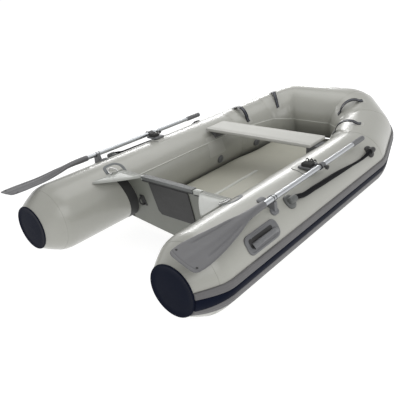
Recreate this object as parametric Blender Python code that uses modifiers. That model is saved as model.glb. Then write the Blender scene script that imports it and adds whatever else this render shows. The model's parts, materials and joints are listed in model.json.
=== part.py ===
"""Inflatable dinghy: air tubes, raked transom, air floor, thwart seat and two stowed oars.

Metres, +Z up. Places are written as x to starboard, y forward of the stern and z above the
lowest line of the side tubes. One empty moves the whole boat so that the origin is under its
middle, at the height of the keel.
"""

import math

import bmesh
import bpy
from mathutils import Matrix, Vector

# Tubes and their path along the starboard side
TUBE_R = 0.205
TUBE_SIDES = 40
SKIN = 0.0009
GAP = 0.0004
TUBE_X = 0.555
TUBE_Z = TUBE_R
CONE_END = 0.19
CAP_R = 0.128
CAP_DEPTH = 0.006
CONE_STEPS = 4
BEND_1 = Vector((TUBE_X, 1.84, TUBE_Z))
BEND_2 = Vector((0.443, 2.251, 0.255))
BEND_3 = Vector((0.252, 2.45, 0.329))

# Rubbing strake
STRAKE_TOP = 10.5
STRAKE_BOTTOM = -29.0
STRAKE_DEPTH = 0.0125
STRAKE_CLEAR = 0.0024
STRAKE_MIDDLE = 2.0
STRAKE_SPREAD = 0.62

# Bottom, keel and floor
BOTTOM_ANGLE = -101.0
KEEL_Z = -0.073
KEEL_TUBE_R = 0.052
FLOOR_HALF = 0.370
FLOOR_SIDE_Z = 0.096
FLOOR_CROWN = 0.044
FLOOR_DEPTH = 0.040

# Transom
TRANSOM_TOP = 0.374
TRANSOM_Y = 0.595
RAKE = 0.28
BOARD_DEPTH = 0.028
BOARD_CORNER_Z = 0.020
DRAIN_X = 0.300
DRAIN_Z = 0.085
PAD_X = -0.018
PAD_DEPTH = 0.007
CAP_WALL = 0.006
GUSSET_DEPTH = 0.008
RING_X = 0.423
RING_Y = 0.550
RING_Z = 0.3805
RING_WIRE = 0.0026
RING_LEAN = 25.0
EYE_X = 0.297
EYE_Z = 0.181

# Seat
SEAT_AFT = 1.454
SEAT_FORE = 1.667
SEAT_TOP = 0.411
SEAT_DEPTH = 0.024
SEAT_HALF = 0.430

# Oars and oarlocks
OAR_X = 0.680
OAR_Z = 0.430
OAR_TIP = -0.036
BLADE_END = 0.550
BLADE_TILT = {1: 20.0, -1: 6.0}
BLADE_DROP = 0.022
BLADE_OUTLINE = (
    # y, half width, half depth
    (BLADE_END, 0.0185, 0.0185),
    (0.500, 0.0200, 0.0185),
    (0.440, 0.0225, 0.0165),
    (0.385, 0.0285, 0.0140),
    (0.320, 0.0450, 0.0115),
    (0.240, 0.0590, 0.0090),
    (0.150, 0.0725, 0.0068),
    (0.060, 0.0815, 0.0052),
    (0.007, 0.0805, 0.0045),
    (-0.023, 0.0770, 0.0042),
    (OAR_TIP, 0.0660, 0.0040),
)
SHAFT_R = 0.014
SHAFT_WALL = 0.0015
SHAFT_AFT = 0.508
SLEEVE_R = SHAFT_R + 0.0006
GRIP_AFT = 1.525
GRIP_END = 1.675
LOCK_Y = 1.130
PIN = Vector((0.600, 1.110, OAR_Z))
PIN_R = 0.006
TRUNNION_R = 0.0055
BLOCK_LOW = OAR_Z - 0.0165
BLOCK_HIGH = OAR_Z + 0.0195
COLLAR_R = 0.0172
COLLAR_LENGTH = 0.040
KNOB_ANGLE = -6.0
CLIP_Y = 0.630

# Lifelines and grab straps
ROPE_R = 0.0075
ROPE_SINK = 0.0215
ROPE_STOPS = (
    # y, angle up from outboard, height of the rope's middle over the tube
    (0.774, 48.0, ROPE_SINK),
    (0.800, 48.0, ROPE_SINK),
    (0.830, 47.0, 0.0190),
    (0.870, 44.8, 0.0120),
    (0.920, 43.8, 0.0095),
    (0.980, 43.6, 0.0090),
    (1.060, 42.6, 0.0090),
    (1.150, 41.9, 0.0090),
    (1.240, 40.9, 0.0090),
    (1.330, 39.6, 0.0090),
    (1.420, 38.2, 0.0090),
    (1.500, 36.8, 0.0090),
    (1.560, 36.2, 0.0095),
    (1.610, 36.6, 0.0130),
    (1.645, 37.8, 0.0195),
    (1.672, 38.5, ROPE_SINK),
    (1.699, 38.5, ROPE_SINK),
)
AFT_FITTING = (0.768, 48.0)
FORE_FITTING = (1.705, 38.5)
STRAP_HALF = 0.0135
STRAP_DEPTH = 0.0035

# The origin stands under the middle of the overall length
BOW_END = BEND_3.y + TUBE_R + STRAKE_DEPTH
MIDDLE_Y = (OAR_TIP + BOW_END) / 2
GROUND_Z = KEEL_Z - SKIN

UP = Vector((0, 0, 1))

# colour, roughness, metallic
FINISHES = {
    "pvc_light": ((0.62, 0.62, 0.58), 0.38, 0.0),
    "pvc_navy": ((0.010, 0.014, 0.035), 0.42, 0.0),
    "strake_grey": ((0.14, 0.14, 0.14), 0.50, 0.0),
    "floor_cream": ((0.50, 0.49, 0.43), 0.45, 0.0),
    "board_white": ((0.60, 0.61, 0.58), 0.40, 0.0),
    "charcoal": ((0.050, 0.051, 0.050), 0.60, 0.0),
    "rail_grey": ((0.15, 0.155, 0.145), 0.50, 0.0),
    "fitting_grey": ((0.13, 0.13, 0.135), 0.45, 0.0),
    "blade_grey": ((0.21, 0.21, 0.22), 0.42, 0.0),
    "anodised": ((0.72, 0.73, 0.75), 0.25, 1.0),
    "seat_white": ((0.66, 0.67, 0.66), 0.35, 0.0),
    "stainless": ((0.70, 0.70, 0.70), 0.18, 1.0),
    "black_web": ((0.012, 0.013, 0.020), 0.70, 0.0),
}


# ---------- scene and helpers ----------


def clear_scene():
    for old in list(bpy.data.objects):
        bpy.data.objects.remove(old, do_unlink=True)


def make_collection(name):
    made = bpy.data.collections.new(name)
    bpy.context.scene.collection.children.link(made)
    return made


def make_finish(name):
    colour, roughness, metallic = FINISHES[name]
    made = bpy.data.materials.new(name)
    made.use_nodes = True
    shader = made.node_tree.nodes["Principled BSDF"]
    shader.inputs["Base Color"].default_value = (*colour, 1)
    shader.inputs["Roughness"].default_value = roughness
    shader.inputs["Metallic"].default_value = metallic
    made.diffuse_color = (*colour, 1)
    return made


def make_empty(name, place, parent=None):
    made = bpy.data.objects.new(name, None)
    made.empty_display_size = 0.05
    made.location = place
    made.parent = parent
    PARTS.objects.link(made)
    return made


def add_object(name, mesh, finish, pivot=None, place=(0, 0, 0)):
    """A mesh given in stern coordinates, hung on the boat or on a pivot's empty."""
    made = bpy.data.objects.new(name, mesh)
    anchor = pivot or BOAT
    offset = Vector(place) - (pivot.location if pivot else Vector())
    made.location = offset
    made.parent = anchor
    if finish is None:
        CUTTERS.objects.link(made)
        made.hide_render = True
        made.display_type = "WIRE"
    else:
        PARTS.objects.link(made)
        mesh.materials.append(MATERIALS[finish])
    return made


def mesh_from(bm, name):
    bmesh.ops.recalc_face_normals(bm, faces=bm.faces)
    mesh = bpy.data.meshes.new(name)
    bm.to_mesh(mesh)
    bm.free()
    mesh.shade_smooth()
    mesh.set_sharp_from_angle(angle=math.radians(35))
    return mesh


def loft(name, rings, finish, pivot=None):
    """A closed body through rings that have the same number of points."""
    bm = bmesh.new()
    rows = [[bm.verts.new(point) for point in ring] for ring in rings]
    for near, far in zip(rows, rows[1:]):
        for i in range(len(near)):
            j = (i + 1) % len(near)
            bm.faces.new((near[i], near[j], far[j], far[i]))
    bm.faces.new(rows[0])
    bm.faces.new(rows[-1])
    return add_object(name, mesh_from(bm, name), finish, pivot)


def sheet(name, surface, steps, depth, finish, side=1):
    """A skin of one thickness: surface(u, v), with u and v from 0 to 1, is its inner face."""
    bm = bmesh.new()
    bmesh.ops.create_grid(bm, x_segments=steps[0], y_segments=steps[1], size=0.5)
    for vert in bm.verts:
        point = surface(vert.co.x + 0.5, vert.co.y + 0.5)
        vert.co = (point.x * side, point.y, point.z)
    if side < 0:
        bmesh.ops.reverse_faces(bm, faces=bm.faces)
    mesh = bpy.data.meshes.new(name)
    bm.to_mesh(mesh)
    bm.free()
    mesh.shade_smooth()
    made = add_object(name, mesh, finish)
    solid = made.modifiers.new("thickness", "SOLIDIFY")
    solid.thickness = depth
    solid.offset = 1
    return made


def aim(direction):
    return UP.rotation_difference(Vector(direction)).to_matrix().to_4x4()


def cylinder(radius, depth, sides, place):
    bm = bmesh.new()
    bmesh.ops.create_cone(
        bm,
        cap_ends=True,
        segments=sides,
        radius1=radius,
        radius2=radius,
        depth=depth,
        matrix=place,
    )
    return bm


def placed(name, bm, finish, pivot):
    """A mesh made in stern coordinates, with its origin moved to its pivot."""
    mesh = mesh_from(bm, name)
    if pivot is None:
        return add_object(name, mesh, finish)
    mesh.transform(Matrix.Translation(-pivot.location))
    return add_object(name, mesh, finish, pivot, pivot.location)


def rod(name, start, end, radius, sides, finish, pivot=None):
    start = Vector(start)
    end = Vector(end)
    place = Matrix.Translation((start + end) / 2) @ aim(end - start)
    return placed(name, cylinder(radius, (end - start).length, sides, place), finish, pivot)


def box(name, low, high, finish, pivot=None):
    low = Vector(low)
    high = Vector(high)
    bm = bmesh.new()
    bmesh.ops.create_cube(bm, size=1)
    for vert in bm.verts:
        vert.co = [low[i] + (vert.co[i] + 0.5) * (high[i] - low[i]) for i in range(3)]
    return placed(name, bm, finish, pivot)


def turned(name, profile, place, direction, sides, finish, pivot=None):
    """A profile of (radius, height) turned about its height axis, outer side from top to bottom."""
    bm = bmesh.new()
    verts = [bm.verts.new((radius, 0, height)) for radius, height in profile]
    for near, far in zip(verts, verts[1:]):
        bm.edges.new((near, far))
    if profile[0][0] > 0:
        bm.edges.new((verts[-1], verts[0]))
    mesh = bpy.data.meshes.new(name)
    bm.to_mesh(mesh)
    bm.free()
    made = add_object(name, mesh, finish, pivot, place)
    made.rotation_euler = aim(direction).to_euler()
    screw = made.modifiers.new("turn", "SCREW")
    screw.steps = sides
    screw.render_steps = sides
    screw.use_merge_vertices = True
    screw.merge_threshold = 0.00001
    screw.use_normal_calculate = False
    screw.use_smooth_shade = True
    return made


def curve_bar(name, points, radius, finish, pivot=None, closed=False, rings=2):
    """A round bar along points, in stern coordinates."""
    curve = bpy.data.curves.new(name, "CURVE")
    curve.dimensions = "3D"
    curve.twist_mode = "MINIMUM"
    spline = curve.splines.new("POLY")
    spline.points.add(len(points) - 1)
    offset = pivot.location if pivot else Vector()
    for spot, point in zip(spline.points, points):
        spot.co = (*(Vector(point) - offset), 1)
    spline.use_cyclic_u = closed
    curve.bevel_depth = radius
    curve.bevel_resolution = rings
    curve.use_fill_caps = not closed
    made = add_object(name, curve, finish, pivot, offset)
    return made


def as_mesh(source, finish):
    """The curve as a mesh object with welded caps."""
    bpy.context.view_layer.update()
    graph = bpy.context.evaluated_depsgraph_get()
    mesh = bpy.data.meshes.new_from_object(source.evaluated_get(graph))
    bm = bmesh.new()
    bm.from_mesh(mesh)
    bmesh.ops.remove_doubles(bm, verts=bm.verts, dist=0.00001)
    bm.to_mesh(mesh)
    bm.free()
    mesh.materials.clear()
    name = source.name
    pivot = source.parent if source.parent != BOAT else None
    place = source.location + (pivot.location if pivot else Vector())
    bpy.data.objects.remove(source)
    return add_object(name, mesh, finish, pivot, place)


def combine(target, operation, tool):
    change = target.modifiers.new(tool.name, "BOOLEAN")
    change.operation = operation
    change.solver = "EXACT"
    change.object = tool
    return target


def bevel(target, width, segments=2):
    rounded = target.modifiers.new("edges", "BEVEL")
    rounded.width = width
    rounded.segments = segments
    rounded.limit_method = "ANGLE"
    rounded.angle_limit = math.radians(40)
    return target


def on_side(point, side):
    return Vector((point[0] * side, point[1], point[2]))


def side_name(side):
    return "starboard" if side > 0 else "port"


# ---------- places on the tubes ----------


def outboard_and_up(direction):
    outboard = direction.cross(UP).normalized()
    return outboard, outboard.cross(direction)


def ring_point(centre, ring_normal, axis, angle, radius):
    """The point at an angle up from outboard where a plane through centre meets a round tube."""
    outboard, up = outboard_and_up(ring_normal)
    turn = math.radians(angle)
    ray = outboard * math.cos(turn) + up * math.sin(turn)
    across = ray.dot(axis)
    return centre + ray * (radius / math.sqrt(1 - across * across))


def segment(i):
    """The start, end and direction of one straight length of the tube path, aft to bow centre."""
    stops = (Vector((TUBE_X, 0, TUBE_Z)), BEND_1, BEND_2, BEND_3, on_side(BEND_3, -1))
    start, end = stops[i], stops[i + 1]
    return start, end, (end - start).normalized()


def tube_point(i, part, angle, radius):
    """A point on length i of the tube, part of the way from its start to its end."""
    start, end, axis = segment(i)
    return ring_point(start.lerp(end, part), axis, axis, angle, radius)


def side_point(y, angle, radius):
    return tube_point(0, y / BEND_1.y, angle, radius)


def seam_normal(i):
    """The normal of the mitre plane between length i and the next."""
    return (segment(i)[2] + segment(i + 1)[2]).normalized()


def seam_point(i, angle, radius):
    start, end, axis = segment(i)
    return ring_point(end, seam_normal(i), axis, angle, radius)


def between_seams(i, angle, radius):
    """A point halfway along length i, on the line between its two mitre planes' points."""
    start, end, axis = segment(i)
    after = seam_normal(i) if i < 3 else on_side(seam_normal(2), -1) * -1
    return ring_point((start + end) / 2, (seam_normal(i - 1) + after).normalized(), axis, angle, radius)


def cone_radius(y):
    part = (y - CAP_DEPTH) / (CONE_END - CAP_DEPTH)
    return CAP_R + (TUBE_R - CAP_R) * math.sin(part * math.pi / 2)


def cone_stops():
    return [CAP_DEPTH + (CONE_END - CAP_DEPTH) * i / CONE_STEPS for i in range(CONE_STEPS + 1)]


def tube_height(x):
    """The top of the side tube above x."""
    return TUBE_Z + math.sqrt(TUBE_R**2 - (x - TUBE_X) ** 2)


def tube_inner_x(z, clear=0.0):
    """The side tube's inboard wall at height z."""
    return TUBE_X - math.sqrt(max((TUBE_R + clear) ** 2 - (z - TUBE_Z) ** 2, 0))


# ---------- hull ----------


def tube_gore(name, start, end, start_normal, end_normal):
    """An open fabric tube between two mitre planes."""
    axis = (end - start).normalized()
    outboard, up = outboard_and_up(axis)
    turn = Matrix((outboard, up, axis)).transposed().to_4x4()
    place = Matrix.Translation((start + end) / 2) @ turn
    length = (end - start).length + 3 * TUBE_R
    outer = cylinder(TUBE_R, length, TUBE_SIDES, place)
    for point, normal in ((start, -start_normal), (end, end_normal)):
        cut = bmesh.ops.bisect_plane(
            outer,
            geom=outer.verts[:] + outer.edges[:] + outer.faces[:],
            plane_co=point - normal * GAP / 2,
            plane_no=normal,
            clear_outer=True,
        )
        rim = [item for item in cut["geom_cut"] if isinstance(item, bmesh.types.BMEdge)]
        bmesh.ops.contextual_create(outer, geom=rim)
    gore = add_object(name, mesh_from(outer, name), "pvc_light")
    inner = cylinder(TUBE_R - SKIN, length + TUBE_R, TUBE_SIDES, place)
    inside = add_object(f"{name}_inside", mesh_from(inner, f"{name}_inside"), None)
    return combine(gore, "DIFFERENCE", inside)


def make_side_gores(side):
    word = side_name(side)
    stern = on_side((TUBE_X, CONE_END, TUBE_Z), side)
    bends = [on_side(bend, side) for bend in (BEND_1, BEND_2, BEND_3)]
    seams = [on_side(seam_normal(i), side) for i in range(3)]
    tube_gore(f"{word}_side_tube", stern, bends[0], Vector((0, 1, 0)), seams[0])
    tube_gore(f"{word}_bow_quarter", bends[0], bends[1], seams[0], seams[1])
    tube_gore(f"{word}_bow_corner", bends[1], bends[2], seams[1], seams[2])


def make_bow_front():
    port_normal = Vector((seam_normal(2).x, -seam_normal(2).y, -seam_normal(2).z))
    tube_gore("bow_front", BEND_3, on_side(BEND_3, -1), seam_normal(2), port_normal)


def make_bow_baffle():
    centre = Vector((0, BEND_3.y, BEND_3.z))
    half = Vector((SKIN, 0, 0))
    rod("bow_baffle", centre - half, centre + half, TUBE_R - SKIN - 0.001, TUBE_SIDES, "pvc_light")


def make_stern(side):
    word = side_name(side)
    stops = [y + (GAP if y == CAP_DEPTH else 0) for y in cone_stops()]
    stops[-1] -= GAP
    outer = [(cone_radius(y), y) for y in reversed(stops)]
    inner = [(radius - SKIN, y) for radius, y in reversed(outer)]
    place = on_side((TUBE_X, 0, TUBE_Z), side)
    turned(f"{word}_stern_cone", outer + inner, place, (0, 1, 0), TUBE_SIDES, "pvc_light")
    rim = CAP_R + 0.002
    cap = [(0, CAP_DEPTH), (rim, CAP_DEPTH), (rim, 0.003), (rim - 0.003, 0), (0, 0)]
    turned(f"{word}_end_cap", cap, place, (0, 1, 0), TUBE_SIDES, "pvc_navy")


def strake_ring(point_at, radius):
    """The strake's section, with a bevelled outer face; it covers a wider angle on a thin tube."""
    facets = [9, 0, -9, -18, -27]
    inner = [STRAKE_TOP] + facets + [STRAKE_BOTTOM]
    outer = [STRAKE_BOTTOM + 2.5, -18, -9, 0, STRAKE_TOP - 2.5]
    spread = 1 + STRAKE_SPREAD * (TUBE_R - radius) / (TUBE_R - CAP_R)
    inner = [STRAKE_MIDDLE + (a - STRAKE_MIDDLE) * spread for a in inner]
    outer = [STRAKE_MIDDLE + (a - STRAKE_MIDDLE) * spread for a in outer]
    near = radius + STRAKE_CLEAR
    far = radius + STRAKE_DEPTH
    return [point_at(a, near) for a in inner] + [point_at(a, far) for a in outer]


def make_rubbing_strake():
    rings = []
    axis = Vector((0, 1, 0))
    for y in cone_stops():
        centre = Vector((TUBE_X, y, TUBE_Z))
        rings.append(
            strake_ring(lambda a, r, c=centre: ring_point(c, axis, axis, a, r), cone_radius(y))
        )
    rings.append(strake_ring(lambda a, r: seam_point(0, a, r), TUBE_R))
    for i in (1, 2):
        rings.append(strake_ring(lambda a, r, i=i: between_seams(i, a, r), TUBE_R))
        rings.append(strake_ring(lambda a, r, i=i: seam_point(i, a, r), TUBE_R))
    middle = [strake_ring(lambda a, r: between_seams(3, a, r), TUBE_R)]
    mirrored = [[on_side(point, -1) for point in ring] for ring in reversed(rings)]
    loft("rubbing_strake", rings + middle + mirrored, "strake_grey")


def bottom_rows():
    """Where the bottom skin leaves the starboard tube, from the transom to the bow."""
    radius = TUBE_R + 0.002
    rows = [side_point(raked_y(0), BOTTOM_ANGLE, radius)]
    rows += [seam_point(i, BOTTOM_ANGLE, radius) for i in range(3)]
    return rows


def keel_height(y):
    """The lowest line of the bottom, level aft and rising to the bow."""
    rows = bottom_rows()
    rise = max(y - BEND_1.y, 0) / (rows[3].y - BEND_1.y)
    return KEEL_Z + (rows[3].z - 0.012 - KEEL_Z) * rise**1.6


def make_hull_bottom():
    """The bottom skin, a shallow V whose aft edge follows the raked transom."""
    rows = bottom_rows()
    spread = [0, 0.4, 0.7, 1, 1.5, 2, 2.5, 3]

    def surface(u, v):
        along = spread[round(v * (len(spread) - 1))]
        i = min(int(along), 2)
        edge = rows[i].lerp(rows[i + 1], along - i)
        across = 2 * u - 1
        low = keel_height(edge.y)
        height = low + (edge.z - low) * abs(across)
        return Vector((edge.x * across, edge.y if along else raked_y(height), height))

    sheet("hull_bottom", surface, (8, len(spread) - 1), SKIN, "pvc_light")


def make_keel_tube():
    stops = [0.760, 0.800, 1.200, 1.700, 1.840, 1.900, 1.940]
    points = [(0, y, keel_height(y) + KEEL_TUBE_R + 0.008) for y in stops]
    keel = curve_bar("keel_tube", points, KEEL_TUBE_R, "pvc_light", rings=4)
    for i in (0, -1):
        keel.data.splines[0].points[i].radius = 0.6


def floor_half_width(y):
    """The floor narrows where the tubes turn in towards the bow."""
    return FLOOR_HALF - 0.42 * max(y - 1.70, 0) ** 1.55


def make_air_floor():
    across = [-1, -0.8, -0.5, -0.25, 0, 0.25, 0.5, 0.8, 1]
    rings = []
    for y in (0.735, 1.20, 1.70, 1.84, 1.95, 2.04, 2.11):
        half = floor_half_width(y)
        lift = max(keel_height(y) - KEEL_Z, 0) * 0.9
        crown = FLOOR_CROWN * (1 - 0.5 * max(y - 1.7, 0) / 0.55)
        top = [
            Vector((half * u, y, FLOOR_SIDE_Z + lift + crown * (1 - abs(u) ** 1.4))) for u in across
        ]
        bottom = [point - UP * FLOOR_DEPTH for point in reversed(top)]
        bottom = [Vector((point.x * 0.985, point.y, point.z)) for point in bottom]
        rings.append(top + bottom)
    loft("air_floor", rings, "floor_cream")


# ---------- transom ----------


def raked_y(z):
    """The board's aft face at height z."""
    return TRANSOM_Y + (TRANSOM_TOP - z) * RAKE


def raked_plate(name, outline, near, far, finish):
    """A plate parallel to the transom, from near to far forward of the board's aft face."""
    rings = [[Vector((x, raked_y(z) + depth, z)) for x, z in outline] for depth in (near, far)]
    return loft(name, rings, finish)


def make_transom_board():
    """A board that fits between the tubes and ends in a V on the bottom skin."""
    reach = TUBE_R + 0.0014
    start = math.asin((TRANSOM_TOP - TUBE_Z) / reach)
    end = math.asin((BOARD_CORNER_Z - TUBE_Z) / reach)
    turns = [start + (end - start) * i / 13 for i in range(14)]
    side = [(TUBE_X - reach * math.cos(a), TUBE_Z + reach * math.sin(a)) for a in turns]
    corner_x = side[-1][0]
    edge = bottom_rows()[0]
    side.append((corner_x, KEEL_Z + (edge.z - KEEL_Z) * corner_x / edge.x + 0.0012))
    port = [(-x, z) for x, z in reversed(side)]
    outline = side + [(0, KEEL_Z + 0.0012)] + port
    board = raked_plate("transom_board", outline, 0, BOARD_DEPTH, "board_white")
    profile = [(0, 0.03), (0.0155, 0.03), (0.0155, -0.03), (0, -0.03)]
    hole = turned("drain_hole", profile, drain_place(), across_board(), 20, None)
    combine(board, "DIFFERENCE", hole)


def across_board():
    return Vector((0, 1, RAKE)).normalized()


def drain_place():
    """The middle of the drain hole, halfway through the board."""
    return Vector((DRAIN_X, raked_y(DRAIN_Z) + BOARD_DEPTH / 2, DRAIN_Z))


def make_drain_plug():
    pivot = make_empty("drain_plug_axis", drain_place(), BOAT)
    half = BOARD_DEPTH * across_board().y / 2
    profile = [
        (0, half - 0.0015),
        (0.0145, half - 0.0015),
        (0.0145, -half - GAP),
        (0.0205, -half - GAP),
        (0.0205, -half - 0.0045),
        (0.008, -half - 0.0045),
        (0.008, -half - 0.0125),
        (0, -half - 0.0125),
    ]
    turned("drain_plug", profile, pivot.location, across_board(), 20, "charcoal", pivot)


def make_motor_pad():
    outline = [
        (PAD_X - 0.157, 0.346),
        (PAD_X + 0.157, 0.346),
        (PAD_X + 0.140, 0.124),
        (PAD_X + 0.126, 0.108),
        (PAD_X - 0.142, 0.108),
        (PAD_X - 0.160, 0.136),
    ]
    pad = raked_plate("motor_pad", outline, -0.0004 - PAD_DEPTH, -0.0004, "charcoal")
    bevel(pad, 0.0015, 1)


def make_transom_cap():
    """A channel over the board's top edge, whose forward leg is the inner clamp pad."""
    fore = BOARD_DEPTH + GAP
    ceiling = TRANSOM_TOP + 0.0016
    section = [
        (-CAP_WALL - GAP, 0.352),
        (-CAP_WALL - GAP, ceiling + CAP_WALL - 0.001),
        (fore + CAP_WALL, ceiling + CAP_WALL - 0.001),
        (fore + CAP_WALL, 0.190),
        (fore, 0.190),
        (fore, ceiling),
        (-GAP, ceiling),
        (-GAP, 0.352),
    ]
    rings = [
        [Vector((x, raked_y(z) + depth, z)) for depth, z in section]
        for x in (PAD_X - 0.205, PAD_X + 0.200)
    ]
    bevel(loft("transom_cap", rings, "rail_grey"), 0.0012, 1)


def make_gusset(side):
    """A corner plate from the transom to the tube, with a lug that carries the lifting ring."""
    word = side_name(side)
    low = TRANSOM_TOP - GUSSET_DEPTH
    edge = tube_inner_x(low, 0.0008)
    fore = TRANSOM_Y - 0.0006
    outline = [(0.241, fore), (0.300, 0.512), (0.372, 0.430), (edge, 0.385), (edge, fore)]
    rings = [[Vector((x * side, y, z)) for x, y in outline] for z in (low, TRANSOM_TOP)]
    plate = loft(f"{word}_gusset", rings, "board_white")
    lug = box(
        f"{word}_lug",
        (min(RING_X * side - 0.006, RING_X * side + 0.006), RING_Y - 0.016, low + 0.002),
        (max(RING_X * side - 0.006, RING_X * side + 0.006), RING_Y + 0.016, RING_Z + 0.006),
        None,
    )
    hole = rod(
        f"{word}_lug_hole",
        (RING_X * side, RING_Y - 0.03, RING_Z),
        (RING_X * side, RING_Y + 0.03, RING_Z),
        0.0034,
        16,
        None,
    )
    combine(plate, "UNION", lug)
    combine(plate, "DIFFERENCE", hole)


def make_lifting_ring(side):
    """A D-shaped ring of round bar on the gusset, leaning outboard towards the tube."""
    pivot = make_empty(
        f"{side_name(side)}_ring_axis", on_side((RING_X, RING_Y, RING_Z), side), BOAT
    )
    points = [Vector((RING_X * side, RING_Y - 0.028 + 0.014 * i, RING_Z)) for i in range(5)]
    lean = math.radians(RING_LEAN)
    for i in range(1, 10):
        turn = math.pi / 2 - math.pi * i / 10
        reach = 0.008 + 0.038 * math.cos(turn)
        spot = Vector((RING_X + reach * math.cos(lean), 0, RING_Z + reach * math.sin(lean)))
        points.append(on_side(spot + Vector((0, RING_Y + 0.031 * math.sin(turn), 0)), side))
    curve_bar(f"{side_name(side)}_lifting_ring", points, RING_WIRE, "stainless", pivot, True)


def make_towing_eye(side):
    """A plate with a bow of round bar, on the transom's aft face close to the tube."""
    word = side_name(side)
    corners = ((-0.020, -0.040), (0.020, -0.040), (0.020, 0.040), (-0.020, 0.040))
    outline = [((EYE_X + x) * side, EYE_Z + z) for x, z in corners]
    plate = raked_plate(f"{word}_towing_eye", outline, -0.0055, -GAP, "charcoal")
    points = []
    for i in range(9):
        turn = math.pi * i / 8
        height = EYE_Z + 0.030 * math.cos(turn)
        stand = 0.003 + 0.032 * math.sin(turn)
        points.append(Vector((EYE_X * side, raked_y(height) - stand, height)))
    bow = as_mesh(curve_bar(f"{word}_eye_bow", points, 0.0055, None), None)
    combine(plate, "UNION", bow)


# ---------- seat ----------


def make_seat():
    pivot = make_empty("seat_axis", (0, (SEAT_AFT + SEAT_FORE) / 2, SEAT_TOP), BOAT)
    low = (-SEAT_HALF, SEAT_AFT, SEAT_TOP - SEAT_DEPTH)
    plank = box("seat_plank", low, (SEAT_HALF, SEAT_FORE, SEAT_TOP), "seat_white", pivot)
    bevel(plank, 0.004, 2)


def make_seat_bracket(side):
    """A wedge on the tube wall whose flat top carries the end of the plank."""
    top = SEAT_TOP - SEAT_DEPTH - GAP
    low = top - 0.058
    heights = [top + (low - top) * i / 5 for i in range(6)]
    wall = [(tube_inner_x(z, 0.0014), z) for z in heights]
    outline = [(wall[0][0] - 0.080, top)] + wall + [(wall[-1][0] - 0.012, low)]
    rings = [
        [Vector((x * side, y, z)) for x, z in outline]
        for y in (SEAT_AFT + 0.050, SEAT_FORE - 0.050)
    ]
    loft(f"{side_name(side)}_seat_bracket", rings, "fitting_grey")


# ---------- deck gear on the tubes ----------


def pad_on_tube(name, y_range, angles, depth, finish, side, steps):
    """A plate that follows the side tube."""

    def surface(u, v):
        y = y_range[0] + (y_range[1] - y_range[0]) * u
        angle = angles[0] + (angles[1] - angles[0]) * v
        return side_point(y, angle, TUBE_R + 0.0009)

    return sheet(name, surface, steps, depth, finish, side)


def make_carry_handle(side):
    """A moulded base with a bowed hand grip standing off it."""
    word = side_name(side)
    base = pad_on_tube(
        f"{word}_carry_handle", (0.330, 0.590), (18, 45), 0.006, "fitting_grey", side, (2, 6)
    )
    points = []
    for i in range(9):
        y = 0.372 + 0.176 * i / 8
        stand = 0.0118 + 0.0265 * min(1, math.sin(math.pi * i / 8) * 1.5)
        points.append(on_side(side_point(y, 33, TUBE_R + stand), side))
    grip = as_mesh(curve_bar(f"{word}_hand_grip", points, 0.0105, None, rings=2), None)
    combine(base, "UNION", grip)


def fitting_frame(y, angle, side):
    """The rope's height above the tube at a fitting."""
    return on_side(side_point(y, angle, TUBE_R + ROPE_SINK), side)


def make_rope_fitting(word, y, angle, toward, side):
    """A base on the tube with a barrel along it, bored for the end of the lifeline."""
    base = pad_on_tube(
        f"{side_name(side)}_{word}_rope_fitting",
        (y - 0.040, y + 0.040),
        (angle - 10.5, angle + 10.5),
        0.005,
        "fitting_grey",
        side,
        (1, 6),
    )
    centre = fitting_frame(y, angle, side)
    half = Vector((0, 0.030 * toward, 0))
    barrel = rod(f"{base.name}_barrel", centre - half, centre + half, 0.0185, 20, None)
    bore_end = centre + half * 1.5
    bore = rod(f"{base.name}_bore", centre, bore_end, ROPE_R + 0.0008, 16, None)
    combine(base, "UNION", barrel)
    combine(base, "DIFFERENCE", bore)


def smooth_points(stops, per_span):
    """A Catmull-Rom curve through the stops."""
    found = []
    for i in range(len(stops) - 1):
        a, b, c, d = (stops[max(0, min(len(stops) - 1, i + k))] for k in (-1, 0, 1, 2))
        for step in range(per_span):
            t = step / per_span
            found.append(
                0.5
                * (
                    2 * b
                    + (c - a) * t
                    + (2 * a - 5 * b + 4 * c - d) * t * t
                    + (3 * b - a - 3 * c + d) * t * t * t
                )
            )
    found.append(stops[-1])
    return found


def make_lifeline(side):
    stops = [on_side(side_point(y, angle, TUBE_R + rise), side) for y, angle, rise in ROPE_STOPS]
    points = smooth_points(stops, 2)
    curve_bar(f"{side_name(side)}_lifeline", points, ROPE_R, "black_web")


def make_grab_strap(word, length, part, angles, side):
    """A strap whose two feet lie on the tube and whose middle stands off it."""
    start, end, _ = segment(length)
    reach = STRAP_HALF / (end - start).length
    steps = 14
    rings = []
    for i in range(steps + 1):
        t = i / steps
        angle = angles[0] + (angles[1] - angles[0]) * t
        free = max(0, min(1, (t - 0.12) / 0.76))
        stand = 0.0012 + 0.036 * math.sin(math.pi * free) ** 0.8
        corners = []
        for shift, rise in ((-1, 0), (1, 0), (1, STRAP_DEPTH), (-1, STRAP_DEPTH)):
            point = tube_point(length, part + reach * shift, angle, TUBE_R + stand + rise)
            corners.append(on_side(point, side))
        rings.append(corners)
    loft(f"{side_name(side)}_{word}_grab_strap", rings, "black_web")


def make_valve(name, length, part, angle, side):
    """A screw cap low on the inboard wall."""
    foot = on_side(tube_point(length, part, angle, TUBE_R + 0.0005), side)
    head = on_side(tube_point(length, part, angle, TUBE_R + 0.1), side)
    pivot = make_empty(f"{name}_axis", foot, BOAT)
    profile = [(0, 0.011), (0.024, 0.011), (0.027, 0.008), (0.027, 0.004), (0.031, 0.004)]
    profile += [(0.031, 0), (0, 0)]
    turned(name, profile, foot, head - foot, 20, "fitting_grey", pivot)


# ---------- oars ----------


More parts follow.
